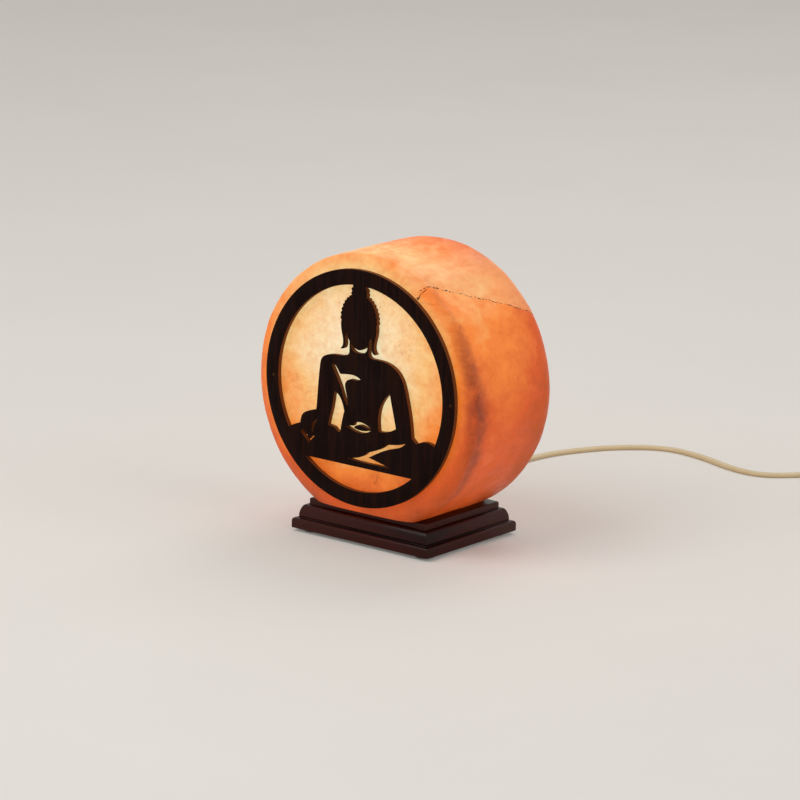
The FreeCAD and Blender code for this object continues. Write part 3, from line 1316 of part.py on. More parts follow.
# The rocker and its bridge, tilted so that the switch is on.
tilt = Rotation(Vector(0, 1, 0), mm("rocker_tilt"))
rocker_block = padded(
    "rocker_block", "XZ_Plane",
    *lines(("rocker_half", "4.7"), ("0", "3.5"), ("-rocker_half", "4.7"), ("-rocker_half - 0.1", "0.5"),
           ("-3", "-2.5"), ("3", "-2.5"), ("rocker_half + 0.1", "0.5")),
    "rocker_width", x="switch_x", y="switch_y", z="rocker_pivot", turn=tilt, both=True)
rocker_axle = in_switch(cylinder, "rocker_axle", "rocker_pin", "17", y="-8.5", z="rocker_pivot",
                        turn=ALONG_Y)
node(fuse("rocker", rocker_block, rocker_axle), "switch_rocker")
node(padded(
    "bridge_strip", "XZ_Plane",
    *lines(("-2.5", "-2.5"), ("-2.5", "-3"), ("7.2", "-3"), ("7.2", "-2.5")),
    "5.1", x="switch_x", y="switch_y - block_y", z="rocker_pivot", turn=tilt, both=True),
    "rocker_bridge")

terminals = []
grub_screws = []
for number, (x, inner, arm_y) in enumerate([("-block_x", "7", "-block_y - 1.3"),
                                            ("block_x", "4.5", "-block_y + 1.3")]):
    sign = (-1, 1)[number]
    arm = in_switch(box, f"contact_arm{number}", f"block_x - {sign} * {inner}", "2", "0.8",
                    x=f"{sign} * (block_x + {sign} * {inner}) / 2", y=arm_y, z=f"{ARM_TOP} - 0.8")
    block = in_switch(box, f"contact_block{number}", "6", "5", "4.8", x=x, y="-block_y", z="3.4")
    terminals.append(cut(
        f"terminal{number}", fuse(f"terminal_solid{number}", arm, block),
        in_switch(cylinder, f"terminal_bore{number}", "core_wire + 0.1", "5.5",
                  x=("-block_x - 3.5", "block_x - 2")[number], y="-block_y", z="switch_entry",
                  turn=ALONG_X),
        in_switch(cylinder, f"terminal_tap{number}", "1", "3", x=x, y="-block_y",
                  z="switch_entry + core_wire")))
    grub_screws.append(in_switch(cylinder, f"terminal_grub{number}", "1", "2.1", x=x, y="-block_y",
                                 z="switch_entry + core_wire"))
node(group("terminals", terminals), "switch_terminals")
node(group("terminal_grubs", grub_screws), "switch_grubs")

clamps = []
clamp_screws = []
CLAMP_Z = "(switch_entry + lead_thick / 2)"
for number, sign in enumerate((-1, 1)):
    bar = in_switch(box, f"clamp_bar{number}", "4", "2 * clamp_y + 3.6", "1.5",
                    x=f"{sign} * clamp_x", z=CLAMP_Z)
    holes = [in_switch(cylinder, f"clamp_hole{number}{side}", "0.85", "4", x=f"{sign} * clamp_x",
                       y=f"{('-', '')[side]}clamp_y", z="switch_split - 1.5") for side in (0, 1)]
    clamps.append(cut(f"clamp{number}", bar, *holes))
for number, (x, y) in enumerate(CLAMPS):
    clamp_screws.append(fuse(
        f"clamp_screw{number}",
        in_switch(cylinder, f"clamp_shank{number}", "0.8", "5.5", x=x, y=y, z=f"{CLAMP_Z} + 1.5 - 5.5"),
        in_switch(cylinder, f"clamp_head{number}", "1.5", "0.9", x=x, y=y, z=f"{CLAMP_Z} + 1.5")))
node(group("clamps", clamps), "switch_clamps")
node(group("clamp_screws", clamp_screws), "clamp_screws")
node(group("switch_screws", [
    fuse(f"switch_screw{number}",
         in_switch(cylinder, f"switch_shank{number}", "1.1", "10.5", x=x, y=y, z="2.2"),
         in_switch(cylinder, f"switch_head{number}", "2.2", "1.7", x=x, y=y, z="0.5"))
    for number, (x, y) in enumerate(POSTS)
]), "switch_screws")

# Inside the switch one core is cut and clamped in the blocks, the other runs through.
lead_ends = mm("switch_length / 2 - lead_inside")
block_x = mm("block_x")
block_y = mm("block_y")
routes = [[(-lead_ends, core_split, 0), (-lead_ends + 2.5, core_split, 0),
           (-block_x - 2.5, block_y + 1.4, -1.7), (block_x + 2.5, block_y + 1.4, -1.7),
           (lead_ends - 2.5, core_split, 0), (lead_ends, core_split, 0)]]
for sign in (-1, 1):
    routes.append([(sign * lead_ends, -core_split, 0), (sign * (lead_ends - 1.2), -core_split, 0),
                   (sign * (block_x + 3.6), -block_y, 0), (sign * (block_x - 0.5), -block_y, 0)])
switch_wires = []
for name, route in zip(("through_core", "left_core", "right_core"), routes):
    points = [Vector(mm("switch_x") + x, switch_y + y, entry_z + z) for x, y, z in route]
    switch_wires.append(swept(name, rounded(name, points),
                              round_section(points[0], points[1] - points[0], mm("core_wire"))))
node(group("switch_cores", switch_wires), "switch_wires")

# ---- mains plug ------------------------------------------------------------
plug_shape = doc.addObject("Part::MultiCommon", "plug_shape")
plug_shape.Shapes = [
    padded("plug_from_above", "XY_Plane",
           *lines(("mains_width / 2", "-mains_length"), ("mains_width / 2", "-mains_length + 13"),
                  ("6.5", "0"), ("-6.5", "0"), ("-mains_width / 2", "-mains_length + 13"),
                  ("-mains_width / 2", "-mains_length")),
           "mains_thick", both=True),
    padded("plug_from_front", "XZ_Plane",
           *lines(("mains_width / 2", "0"), ("mains_width / 2 - 4.6", "mains_thick / 2"),
                  ("4.6 - mains_width / 2", "mains_thick / 2"), ("-mains_width / 2", "0"),
                  ("4.6 - mains_width / 2", "-mains_thick / 2"),
                  ("mains_width / 2 - 4.6", "-mains_thick / 2")),
           "2 * mains_length + 1", both=True),
]
place(plug_shape, "mains_x", "mains_y", MAINS_Z)
relief_outline = [("line", "5.2", "0")]
for number in range(5):
    along = 5 + 3.2 * number
    for radius, height in ((0, 0), (-0.5, 0.3), (-0.5, 1.3), (-0.06, 1.6)):
        relief_outline.append(
            ("line", f"5.2 - 1.2 * {along} / mains_relief + {radius}", f"{along + height}"))
relief_outline += [("line", "4", "mains_relief - 0.5"), ("line", "3.5", "mains_relief"),
                   ("line", "0", "mains_relief"), ("line", "0", "0")]
plug_relief = turned("plug_relief", ("0", "0"), relief_outline,
                     x="mains_x", y="mains_y", z=MAINS_Z, turn=ALONG_Y)
plug_cuts = [box("plug_lead_slot", "lead_width + 0.2", "12", "lead_thick + 0.2",
                 x="mains_x", y="mains_y + mains_relief", z=f"{MAINS_Z} - lead_thick / 2 - 0.1")]
for number in range(4):
    for side, sign in (("top", 1), ("bottom", -1)):
        plug_cuts.append(box(f"plug_grip_{side}{number}", "9", "1.2", "1", x="mains_x",
                             y=f"mains_y - {4 + 3 * number}",
                             z=f"{MAINS_Z} + {sign} * mains_thick / 2 - 0.5"))
pins = []
sleeves = []
PIN_BACK = "(mains_y - mains_length + 6)"
for number, sign in enumerate((-1, 1)):
    x = f"mains_x + {sign} * mains_pin_spread / 2"
    plug_cuts.append(cylinder(f"plug_pin_hole{number}", "mains_pin_radius - 0.4", "8",
                              x=x, y=f"{PIN_BACK} - 8", z=MAINS_Z, turn=ALONG_Y))
    pins.append(turned(
        f"mains_pin{number}",
        ("0", "0"),
        [
            ("line", "mains_pin_radius - 0.4", "0"),
            ("line", "mains_pin_radius - 0.4", "15"),
            ("line", "mains_pin_radius", "15"),
            ("line", "mains_pin_radius", "4 + mains_pin_length"),
            ("arc", "0", "6 + mains_pin_length", "mains_pin_radius", 1),
            ("line", "0", "0"),
        ],
        x=x, y=PIN_BACK, z=MAINS_Z, turn=Rotation(Vector(1, 0, 0), 90)))
    sleeves.append(cut(
        f"pin_sleeve{number}",
        cylinder(f"sleeve_outside{number}", "mains_pin_radius", "9",
                 x=x, y=f"{PIN_BACK} - 15", z=MAINS_Z, turn=ALONG_Y),
        cylinder(f"sleeve_inside{number}", "mains_pin_radius - 0.4", "11",
                 x=x, y=f"{PIN_BACK} - 16", z=MAINS_Z, turn=ALONG_Y)))
node(cut("plug", fuse("plug_moulding", plug_shape, plug_relief), *plug_cuts), "plug_body")
node(group("mains_pins", pins), "plug_pins")
node(group("pin_insulation", sleeves), "pin_sleeves")

# ---- check and export ------------------------------------------------------
doc.recompute()
for thing in doc.Objects:
    assert "Invalid" not in thing.State and "Error" not in thing.State, (thing.Name, thing.State)
os.makedirs("parts", exist_ok=True)
for piece in NODES:
    shape = piece.Shape
    assert not shape.isNull() and shape.isValid(), piece.Label
    shape.exportStep(f"parts/{piece.Label}.step")
    print(f"{piece.Label}: {len(shape.Solids)} solids, {shape.Volume:.1f} mm3")
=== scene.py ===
import json
import math

import bpy
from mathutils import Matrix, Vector

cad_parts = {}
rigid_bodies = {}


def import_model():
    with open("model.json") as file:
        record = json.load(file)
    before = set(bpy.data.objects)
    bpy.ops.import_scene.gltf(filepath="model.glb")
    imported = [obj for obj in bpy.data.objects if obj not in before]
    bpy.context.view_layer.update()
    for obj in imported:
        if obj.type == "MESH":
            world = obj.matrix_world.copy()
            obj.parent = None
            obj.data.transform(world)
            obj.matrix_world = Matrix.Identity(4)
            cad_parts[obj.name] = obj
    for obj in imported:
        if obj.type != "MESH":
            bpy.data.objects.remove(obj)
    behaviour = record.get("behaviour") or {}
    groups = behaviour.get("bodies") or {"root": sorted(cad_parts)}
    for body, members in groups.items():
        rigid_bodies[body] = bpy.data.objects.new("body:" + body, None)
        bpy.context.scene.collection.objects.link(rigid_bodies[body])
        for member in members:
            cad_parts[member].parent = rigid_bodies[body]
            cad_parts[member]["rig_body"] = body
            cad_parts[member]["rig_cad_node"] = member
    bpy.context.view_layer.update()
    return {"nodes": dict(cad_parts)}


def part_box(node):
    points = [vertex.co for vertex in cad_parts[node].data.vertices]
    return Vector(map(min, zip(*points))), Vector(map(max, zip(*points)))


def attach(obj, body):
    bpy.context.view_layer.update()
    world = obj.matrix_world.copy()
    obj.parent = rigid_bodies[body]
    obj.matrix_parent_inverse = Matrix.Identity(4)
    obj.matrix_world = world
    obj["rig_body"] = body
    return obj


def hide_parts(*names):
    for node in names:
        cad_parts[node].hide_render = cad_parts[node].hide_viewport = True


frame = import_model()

nodes = frame["nodes"]

# ---- Salt slab ---------------------------------------------------------------
# A round slab turned from one lump of rock salt, with a soft front shoulder, cut flat
# underneath and bored from below for the bulb. It is rubbed smooth, but stays uneven,
# cloudy and veined, and the light of the bulb shows through it.


def only(*chosen):
    """Leave just these objects selected, the first one active."""
    bpy.ops.object.select_all(action="DESELECT")
    for thing in chosen:
        thing.select_set(True)
    bpy.context.view_layer.objects.active = chosen[0]


def named(name):
    """Name the piece that was just added, with its place put into its mesh."""
    piece = bpy.context.object
    piece.name = piece.data.name = name
    bpy.ops.object.transform_apply(location=True, rotation=True, scale=True)
    return piece


def pick(piece, kind, chosen):
    """Go into edit mode with just those vertices, edges or faces picked for which chosen is true."""
    only(piece)
    bpy.ops.object.mode_set(mode="EDIT")
    bpy.ops.mesh.select_mode(type=kind)
    bpy.ops.mesh.select_all(action="DESELECT")
    bpy.ops.object.mode_set(mode="OBJECT")
    parts = {"VERT": piece.data.vertices, "EDGE": piece.data.edges, "FACE": piece.data.polygons}[kind]
    for part in parts:
        part.select = chosen(part)
    bpy.ops.object.mode_set(mode="EDIT")


def modify(piece, kind, **settings):
    """Put a modifier on a piece and apply it."""
    only(piece)
    modifier = piece.modifiers.new(kind.title(), kind)
    for setting, value in settings.items():
        setattr(modifier, setting, value)
    bpy.ops.object.modifier_apply(modifier=modifier.name)
    return piece


def bore(piece, *tools):
    """Cut tools out of a piece, and put them away."""
    for tool in tools:
        modify(piece, "BOOLEAN", object=tool, operation="DIFFERENCE", solver="EXACT")
        bpy.data.objects.remove(tool)
    return piece


def smooth(piece, degrees=35):
    """Round shading, with the edges sharper than this kept crisp."""
    only(piece)
    bpy.ops.object.shade_smooth_by_angle(angle=math.radians(degrees))
    return piece


def rod(name, radius, start, end, sides=32):
    """A round bar from one point to another."""
    start, end = Vector(start), Vector(end)
    along = end - start
    turn = along.to_track_quat("Z", "Y").to_euler()
    bpy.ops.mesh.primitive_cylinder_add(vertices=sides, radius=radius, depth=along.length,
                                        location=(start + end) / 2, rotation=turn)
    return named(name)


def lathe(name, outline, centre, axis, steps):
    """Spin an outline of (radius, place along the axis) into a closed turned form."""
    turned_up = axis == "Z"
    line = [Vector((r, 0, along)) if turned_up else Vector((r, along, 0)) for r, along in outline]
    bpy.ops.object.select_all(action="DESELECT")
    bpy.ops.mesh.primitive_plane_add(size=0.001)
    bpy.ops.object.mode_set(mode="EDIT")
    bpy.ops.mesh.select_all(action="SELECT")
    bpy.ops.mesh.merge(type="CENTER")
    bpy.ops.transform.translate(value=line[0])
    for before, after in zip(line, line[1:]):
        bpy.ops.mesh.extrude_region_move(TRANSFORM_OT_translate={"value": after - before})
    bpy.ops.mesh.select_all(action="SELECT")
    bpy.ops.mesh.spin(steps=steps, angle=2 * math.pi, center=(0, 0, 0),
                      axis=(0, 0, 1) if turned_up else (0, 1, 0))
    bpy.ops.mesh.select_all(action="SELECT")
    bpy.ops.mesh.remove_doubles(threshold=1e-6)
    bpy.ops.mesh.normals_make_consistent(inside=False)
    bpy.ops.transform.translate(value=centre)
    bpy.ops.object.mode_set(mode="OBJECT")
    return named(name)


def colour(text):
    """A colour as it looks on paper, such as #a55537, for a shader socket."""
    shares = [int(text[i:i + 2], 16) / 255 for i in (1, 3, 5)]
    return (*[s / 12.92 if s <= 0.04045 else ((s + 0.055) / 1.055) ** 2.4 for s in shares], 1)


def node(tree, kind, sockets=None, **settings):
    """A shader node, its sockets given as values or linked from other sockets."""
    made = tree.nodes.new("ShaderNode" + kind)
    for setting, value in settings.items():
        setattr(made, setting, value)
    for name, value in (sockets or {}).items():
        if isinstance(value, bpy.types.NodeSocket):
            tree.links.new(value, made.inputs[name])
        else:
            made.inputs[name].default_value = value
    return made


def calc(tree, operation, *values):
    """Arithmetic on up to three values or sockets."""
    return node(tree, "Math", dict(enumerate(values)), operation=operation).outputs[0]


def noise(tree, place, scale, detail=3.0, roughness=0.5, distortion=0.0):
    """Cloudy noise from 0 to 1, scale patches to the metre."""
    return node(tree, "TexNoise", {"Vector": place, "Scale": scale, "Detail": detail,
                                   "Roughness": roughness, "Distortion": distortion}).outputs["Fac"]


def spread(tree, value, low, high, to_low=0.0, to_high=1.0):
    """Stretch low to high over to_low to to_high, smoothly and no further."""
    return node(tree, "MapRange", {"Value": value, "From Min": low, "From Max": high, "To Min": to_low,
                                   "To Max": to_high}, interpolation_type="SMOOTHSTEP").outputs["Result"]


def blend(tree, share, first, second, how="MIX"):
    """Mix two colours or colour sockets."""
    return node(tree, "Mix", {0: share, 6: first, 7: second}, data_type="RGBA", blend_type=how).outputs[2]


def stretched(tree, place, x, y, z):
    """Squeeze a pattern's coordinates along the three axes."""
    return node(tree, "VectorMath", {0: place, 1: (x, y, z)}, operation="MULTIPLY").outputs[0]


def finish(name, **plain):
    """A new material: it, its node tree, its shader and the piece's own coordinates."""
    made = bpy.data.materials.new(name)
    made.use_nodes = True
    tree = made.node_tree
    shader = tree.nodes["Principled BSDF"]
    for socket, value in plain.items():
        shader.inputs[socket.replace("_", " ")].default_value = value
    return made, tree, shader, node(tree, "TexCoord").outputs["Object"]


def link(tree, shader, **sockets):
    """Feed the shader's sockets."""
    for socket, value in sockets.items():
        tree.links.new(value, shader.inputs[socket.replace("_", " ")])


def bump(tree, height, distance, strength=1.0):
    """A surface normal from a height of 0 to 1, distance metres deep."""
    return node(tree, "Bump", {"Height": height, "Distance": distance, "Strength": strength}).outputs[0]


salt_low, salt_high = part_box("salt_crystal")
SALT_RADIUS = (salt_high.x - salt_low.x) / 2
SALT_MIDDLE = Vector((0, 0, salt_high.z - SALT_RADIUS))
SHOULDER, SHOULDER_DEPTH, BACK_ROUND = 0.012, 0.0055, 0.014
quarter = [math.radians(15 * step) for step in range(7)]
outline = [(share * SALT_RADIUS, salt_low.y) for share in (0, 0.2, 0.4, 0.6, 0.75)]
outline += [(SALT_RADIUS - SHOULDER + SHOULDER * math.sin(t),
             salt_low.y + SHOULDER_DEPTH * (1 - math.cos(t))) for t in quarter]
side_start, side_end = salt_low.y + SHOULDER_DEPTH, salt_high.y - BACK_ROUND
outline += [(SALT_RADIUS, side_start + (side_end - side_start) * step / 12) for step in range(1, 12)]
outline += [(SALT_RADIUS - BACK_ROUND * (1 - math.cos(t)), side_end + BACK_ROUND * math.sin(t))
            for t in quarter]
outline += [(share * SALT_RADIUS, salt_high.y) for share in (0.6, 0.4, 0.2, 0)]
slab = lathe("salt_slab", outline, SALT_MIDDLE, "Y", steps=120)
modify(slab, "SUBSURF", levels=1, render_levels=1)

# Rubbing left broad flats on its rim: (degrees from +X, depth).
FLATS = [(131, 0.0007), (74, 0.0006), (49, 0.0011), (27, 0.0009), (3, 0.0005), (-24, 0.0006),
         (168, 0.0006), (204, 0.0008)]
for angle, depth in FLATS:
    away = Vector((math.cos(math.radians(angle)), 0, math.sin(math.radians(angle))))
    for vertex in slab.data.vertices:
        beyond = (vertex.co - SALT_MIDDLE).dot(away) - (SALT_RADIUS - depth)
        if beyond > 0:
            vertex.co -= away * beyond
waves = bpy.data.textures.new("salt_waves", "CLOUDS")
waves.noise_scale = 0.022
waves.noise_depth = 3
modify(slab, "DISPLACE", texture=waves, texture_coords="LOCAL", mid_level=1.0, strength=0.0009)

pick(slab, "FACE", lambda face: True)
bpy.ops.mesh.bisect(plane_co=salt_low, plane_no=(0, 0, 1), use_fill=True, clear_inner=True)
bpy.ops.object.mode_set(mode="OBJECT")
bulb_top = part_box("bulb_glass")[1].z
BORE_RADIUS, BORE_Y, BORE_ROOM = 0.024, 0.001, 0.01146
plug_low, plug_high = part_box("screw_plugs")
PLUG_RADIUS, OVERCUT = 0.003, 0.01
plug_places = [(x, y) for x in (plug_low.x + PLUG_RADIUS, plug_high.x - PLUG_RADIUS)
               for y in (plug_low.y + PLUG_RADIUS, plug_high.y - PLUG_RADIUS)]
under = salt_low.z - OVERCUT
drills = [rod("drill", BORE_RADIUS, (0, BORE_Y, under), (0, BORE_Y, bulb_top + BORE_ROOM), 72)]
for x, y in plug_places:
    drills.append(rod("drill", PLUG_RADIUS, (x, y, under), (x, y, plug_high.z + 0.0005)))
bore(slab, *drills)
smooth(slab, 40)

salt, tree, shader, place = finish("salt_glow", Specular_IOR_Level=0.3, IOR=1.5, Emission_Strength=1.0)
across = node(tree, "SeparateXYZ", {0: place})
x, y, z = (across.outputs[axis] for axis in "XYZ")
above = calc(tree, "SUBTRACT", z, SALT_MIDDLE.z)
around = calc(tree, "MULTIPLY", calc(tree, "ARCTAN2", above, x), 180 / math.pi)
out = calc(tree, "SQRT", calc(tree, "MULTIPLY_ADD", x, x, calc(tree, "MULTIPLY", above, above)))
rim = spread(tree, out, SALT_RADIUS - 0.010, SALT_RADIUS - 0.003)
clouds = noise(tree, place, 38, 5.0, 0.55, 0.6)
wisps = noise(tree, stretched(tree, place, 1.0, 0.75, 1.3), 85, 7.0, 0.62, 1.0)
# Nearer the bulb the salt is paler and brighter; clouds bend that light about. It fades
# sooner through the slab's depth than across its face.
BULB_GLOW, DEEPER = Vector((-0.004, -0.012, 0.125)), 1.25
from_bulb = node(tree, "VectorMath", {0: place, 1: BULB_GLOW}, operation="SUBTRACT").outputs[0]
from_bulb = stretched(tree, from_bulb, 1.0, DEEPER, 1.0)
reach = node(tree, "VectorMath", {0: from_bulb}, operation="LENGTH").outputs["Value"]
reach = calc(tree, "MULTIPLY_ADD", calc(tree, "SUBTRACT", clouds, 0.5), 0.030, reach)
reach = calc(tree, "MULTIPLY_ADD", calc(tree, "SUBTRACT", wisps, 0.5), 0.013, reach)
# The flat front glows a little more than the rim does, and the top less towards the back.
reach = calc(tree, "ADD", reach, calc(tree, "MULTIPLY", calc(tree, "SUBTRACT", rim, 1.0), 0.005))
overhead = calc(tree, "MULTIPLY", spread(tree, above, 0.066, 0.085), spread(tree, y, -0.030, 0.0))
reach = calc(tree, "MULTIPLY_ADD", overhead, 0.011, reach)
GLOW = [(0.035, "#e0e0b8"), (0.060, "#dcbc78"), (0.080, "#d87c2a"), (0.100, "#b04006"), (0.128, "#300400")]
GLOW_REACH = 0.13
glow = node(tree, "ValToRGB", {0: calc(tree, "DIVIDE", reach, GLOW_REACH)})
for distance, text in GLOW:
    stop = glow.color_ramp.elements.new(distance / GLOW_REACH)
    stop.color = colour(text)
glow.color_ramp.elements.remove(glow.color_ramp.elements[-1])
glow.color_ramp.elements.remove(glow.color_ramp.elements[0])

# The crack over the rim: from the front edge at 59 degrees to the back at 34.
crack_line = calc(tree, "MULTIPLY_ADD", calc(tree, "ADD", y, 0.0405), -325.0, 59.0)
wander = calc(tree, "MULTIPLY", calc(tree, "SUBTRACT", noise(tree, place, 120, 4.0, 0.55), 0.5), 3.4)
from_crack = calc(tree, "SUBTRACT", calc(tree, "ADD", around, wander), crack_line)
crack = spread(tree, calc(tree, "ABSOLUTE", from_crack), 0.22, 0.5, 1.0, 0.0)
broken = spread(tree, noise(tree, place, 700, 2.0), 0.5, 0.56)
crack = calc(tree, "MULTIPLY", crack, broken)
right_side = calc(tree, "MULTIPLY", spread(tree, x, 0.020, 0.026), rim)
crack = calc(tree, "MULTIPLY", crack, right_side)
# Where the crack meets the front edge it turns down towards the panel.
squiggle = calc(tree, "MULTIPLY", calc(tree, "SUBTRACT", noise(tree, place, 420, 2.0), 0.5), 4.0)
from_turn = calc(tree, "ADD", squiggle, calc(tree, "SUBTRACT", around, 57.4))
turn_down = spread(tree, calc(tree, "ABSOLUTE", from_turn), 0.16, 0.36, 1.0, 0.0)
turn_down = calc(tree, "MULTIPLY", turn_down, spread(tree, y, -0.0392, -0.0386, 1.0, 0.0))
turn_down = calc(tree, "MULTIPLY", turn_down, spread(tree, out, 0.0765, 0.0775))
crack = calc(tree, "MAXIMUM", crack, turn_down)
pale_side = calc(tree, "MULTIPLY", spread(tree, from_crack, -0.4, 0.6), right_side)
pale_side = calc(tree, "MULTIPLY", pale_side, spread(tree, around, 60.0, 76.0, 1.0, 0.25))
# A rust-coloured vein down the rim just behind the front edge, darkest in its middle.
vein_bend = calc(tree, "SINE", calc(tree, "MULTIPLY", around, math.radians(3.0)))
vein_line = calc(tree, "MULTIPLY_ADD", vein_bend, -0.0035, -0.0355)
sway = calc(tree, "MULTIPLY", calc(tree, "SUBTRACT", noise(tree, place, 42, 3.0, 0.5), 0.5), 0.016)
ragged = calc(tree, "MULTIPLY", calc(tree, "SUBTRACT", noise(tree, place, 230, 5.0, 0.7), 0.5), 0.008)
from_vein = calc(tree, "ADD", calc(tree, "SUBTRACT", y, vein_line), calc(tree, "ADD", sway, ragged))
from_vein = calc(tree, "ABSOLUTE", from_vein)
from_middle = calc(tree, "ABSOLUTE", calc(tree, "ADD", around, 1.0))
vein_width = spread(tree, from_middle, 4.0, 46.0, 0.0125, 0.0055)
shade = spread(tree, calc(tree, "DIVIDE", from_vein, vein_width), 0.0, 1.0, 1.0, 0.0)
shade = calc(tree, "MULTIPLY", shade, spread(tree, from_middle, 16.0, 52.0, 0.80, 0.22))
core = spread(tree, from_vein, 0.0006, 0.0042, 1.0, 0.0)
core = calc(tree, "MULTIPLY", core, spread(tree, from_middle, 9.0, 26.0, 0.95, 0.0))
blotches = spread(tree, noise(tree, place, 75, 6.0, 0.7), 0.34, 0.58, 0.40, 1.0)
vein = calc(tree, "MULTIPLY", calc(tree, "MAXIMUM", shade, core), blotches)
vein = calc(tree, "MULTIPLY", vein, calc(tree, "MULTIPLY", rim, spread(tree, x, 0.030, 0.050)))
# Fine dirt in the grain, and threads of rust all through.
threads = noise(tree, stretched(tree, place, 1.0, 1.6, 0.8), 55, 8.0, 0.6, 2.2)
threads = spread(tree, calc(tree, "ABSOLUTE", calc(tree, "SUBTRACT", threads, 0.5)), 0.0, 0.018, 1.0, 0.0)
threads = calc(tree, "MULTIPLY", threads, spread(tree, clouds, 0.48, 0.66))
specks = spread(tree, noise(tree, place, 750, 3.0, 0.65), 0.62, 0.72)
specks = calc(tree, "MULTIPLY", specks, spread(tree, noise(tree, place, 45, 3.0), 0.42, 0.62))
dirt = calc(tree, "MAXIMUM", calc(tree, "MULTIPLY", threads, 0.35), calc(tree, "MULTIPLY", specks, 0.5))

body = blend(tree, clouds, colour("#963d1d"), colour("#ae5229"))
body = blend(tree, spread(tree, wisps, 0.35, 0.7, 0.0, 0.55), body, colour("#a54822"))
body = blend(tree, calc(tree, "MULTIPLY", vein, 0.72), body, colour("#6b2c1c"))
body = blend(tree, dirt, body, colour("#6e3018"))
body = blend(tree, crack, body, colour("#1c0a05"))
light = blend(tree, calc(tree, "MULTIPLY", pale_side, 0.42), glow.outputs[0], colour("#cdb079"))
light = blend(tree, spread(tree, wisps, 0.40, 0.70, 0.0, 0.20), light, colour("#b0622c"))
light = blend(tree, calc(tree, "MULTIPLY", vein, 0.85), light, colour("#4a1708"))
light = blend(tree, dirt, light, colour("#6a2c10"))
mottle = noise(tree, place, 260, 5.0, 0.7)
light = blend(tree, spread(tree, mottle, 0.42, 0.62, 0.0, 0.13), light, colour("#c07a38"), "MULTIPLY")
light = blend(tree, crack, light, colour("#140502"))
grain = calc(tree, "MULTIPLY_ADD", noise(tree, place, 1500, 3.0), 0.25, wisps)
grain = calc(tree, "MULTIPLY_ADD", mottle, 0.7, grain)
grain = calc(tree, "SUBTRACT", grain, calc(tree, "MULTIPLY", crack, 2.0))
link(tree, shader, Base_Color=body, Emission_Color=light, Normal=bump(tree, grain, 0.0005, 0.5),
     Roughness=spread(tree, wisps, 0.3, 0.7, 0.32, 0.58))
slab.data.materials.append(salt)
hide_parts("salt_crystal")
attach(slab, "lamp")

# ---- Screws and wall plugs ---------------------------------------------------
# Four countersunk wood screws come up through the foot into grey plastic plugs that are
# pushed into drilled holes in the salt. Zinc-plated steel and nylon.


def new_group(name, inputs, outputs):
    """An empty shader node group with named sockets: it, its input node and its output node."""
    made = bpy.data.node_groups.new(name, "ShaderNodeTree")
    for socket, kind in inputs:
        made.interface.new_socket(socket, in_out="INPUT", socket_type="NodeSocket" + kind)
    for socket, kind in outputs:
        made.interface.new_socket(socket, in_out="OUTPUT", socket_type="NodeSocket" + kind)
    return made, made.nodes.new("NodeGroupInput"), made.nodes.new("NodeGroupOutput")


def grouped(tree, group, **sockets):
    """A group placed in a material, with its own values."""
    made = tree.nodes.new("ShaderNodeGroup")
    made.node_tree = group
    for socket, value in sockets.items():
        if isinstance(value, bpy.types.NodeSocket):
            tree.links.new(value, made.inputs[socket])
        else:
            made.inputs[socket].default_value = value
    return made.outputs


# Worn metal: fine scratches one way, dull patches where hands and air reach it.
metal_wear, inside, outside = new_group(
    "metal_wear", [("Vector", "Vector"), ("Scratches", "Float")], [("Dull", "Float"), ("Height", "Float")])
lines = noise(metal_wear, stretched(metal_wear, inside.outputs["Vector"], 1.0, 1.0, 0.06), 2600, 2.0)
lines = calc(metal_wear, "MULTIPLY", spread(metal_wear, lines, 0.42, 0.62), inside.outputs["Scratches"])
patches = spread(metal_wear, noise(metal_wear, inside.outputs["Vector"], 160, 5.0, 0.6), 0.35, 0.7)
metal_wear.links.new(calc(metal_wear, "MAXIMUM", patches, lines), outside.inputs["Dull"])
metal_wear.links.new(calc(metal_wear, "SUBTRACT", 1.0, lines), outside.inputs["Height"])


def metal(name, bright, dull, smooth_at, rough_at, scratches=0.6):
    """A metal that dulls from one colour to another."""
    made, tree, shader, place = finish(name, Metallic=1.0)
    wear = grouped(tree, metal_wear, Vector=place, Scratches=scratches)
    link(tree, shader, Base_Color=blend(tree, wear["Dull"], colour(bright), colour(dull)),
         Roughness=spread(tree, wear["Dull"], 0.0, 1.0, smooth_at, rough_at),
         Normal=bump(tree, wear["Height"], 0.00003, 0.5))
    return made


def paint(material, *names):
    """Give CAD nodes a finish."""
    for name in names:
        nodes[name].data.materials.clear()
        nodes[name].data.materials.append(material)


# Moulded plastic: a faint orange peel, tiny scuffs and slow changes of shade.
moulded_skin, inside, outside = new_group(
    "moulded_skin", [("Vector", "Vector"), ("Peel", "Float")],
    [("Shade", "Float"), ("Scuff", "Float"), ("Height", "Float")])
coordinates = inside.outputs["Vector"]
shade = noise(moulded_skin, coordinates, 70, 4.0, 0.55)
scuff = noise(moulded_skin, stretched(moulded_skin, coordinates, 1.0, 0.25, 1.0), 1100, 3.0)
peel = calc(moulded_skin, "MULTIPLY", noise(moulded_skin, coordinates, 2200, 1.0), inside.outputs["Peel"])
moulded_skin.links.new(shade, outside.inputs["Shade"])
moulded_skin.links.new(spread(moulded_skin, scuff, 0.58, 0.72), outside.inputs["Scuff"])
moulded_skin.links.new(peel, outside.inputs["Height"])


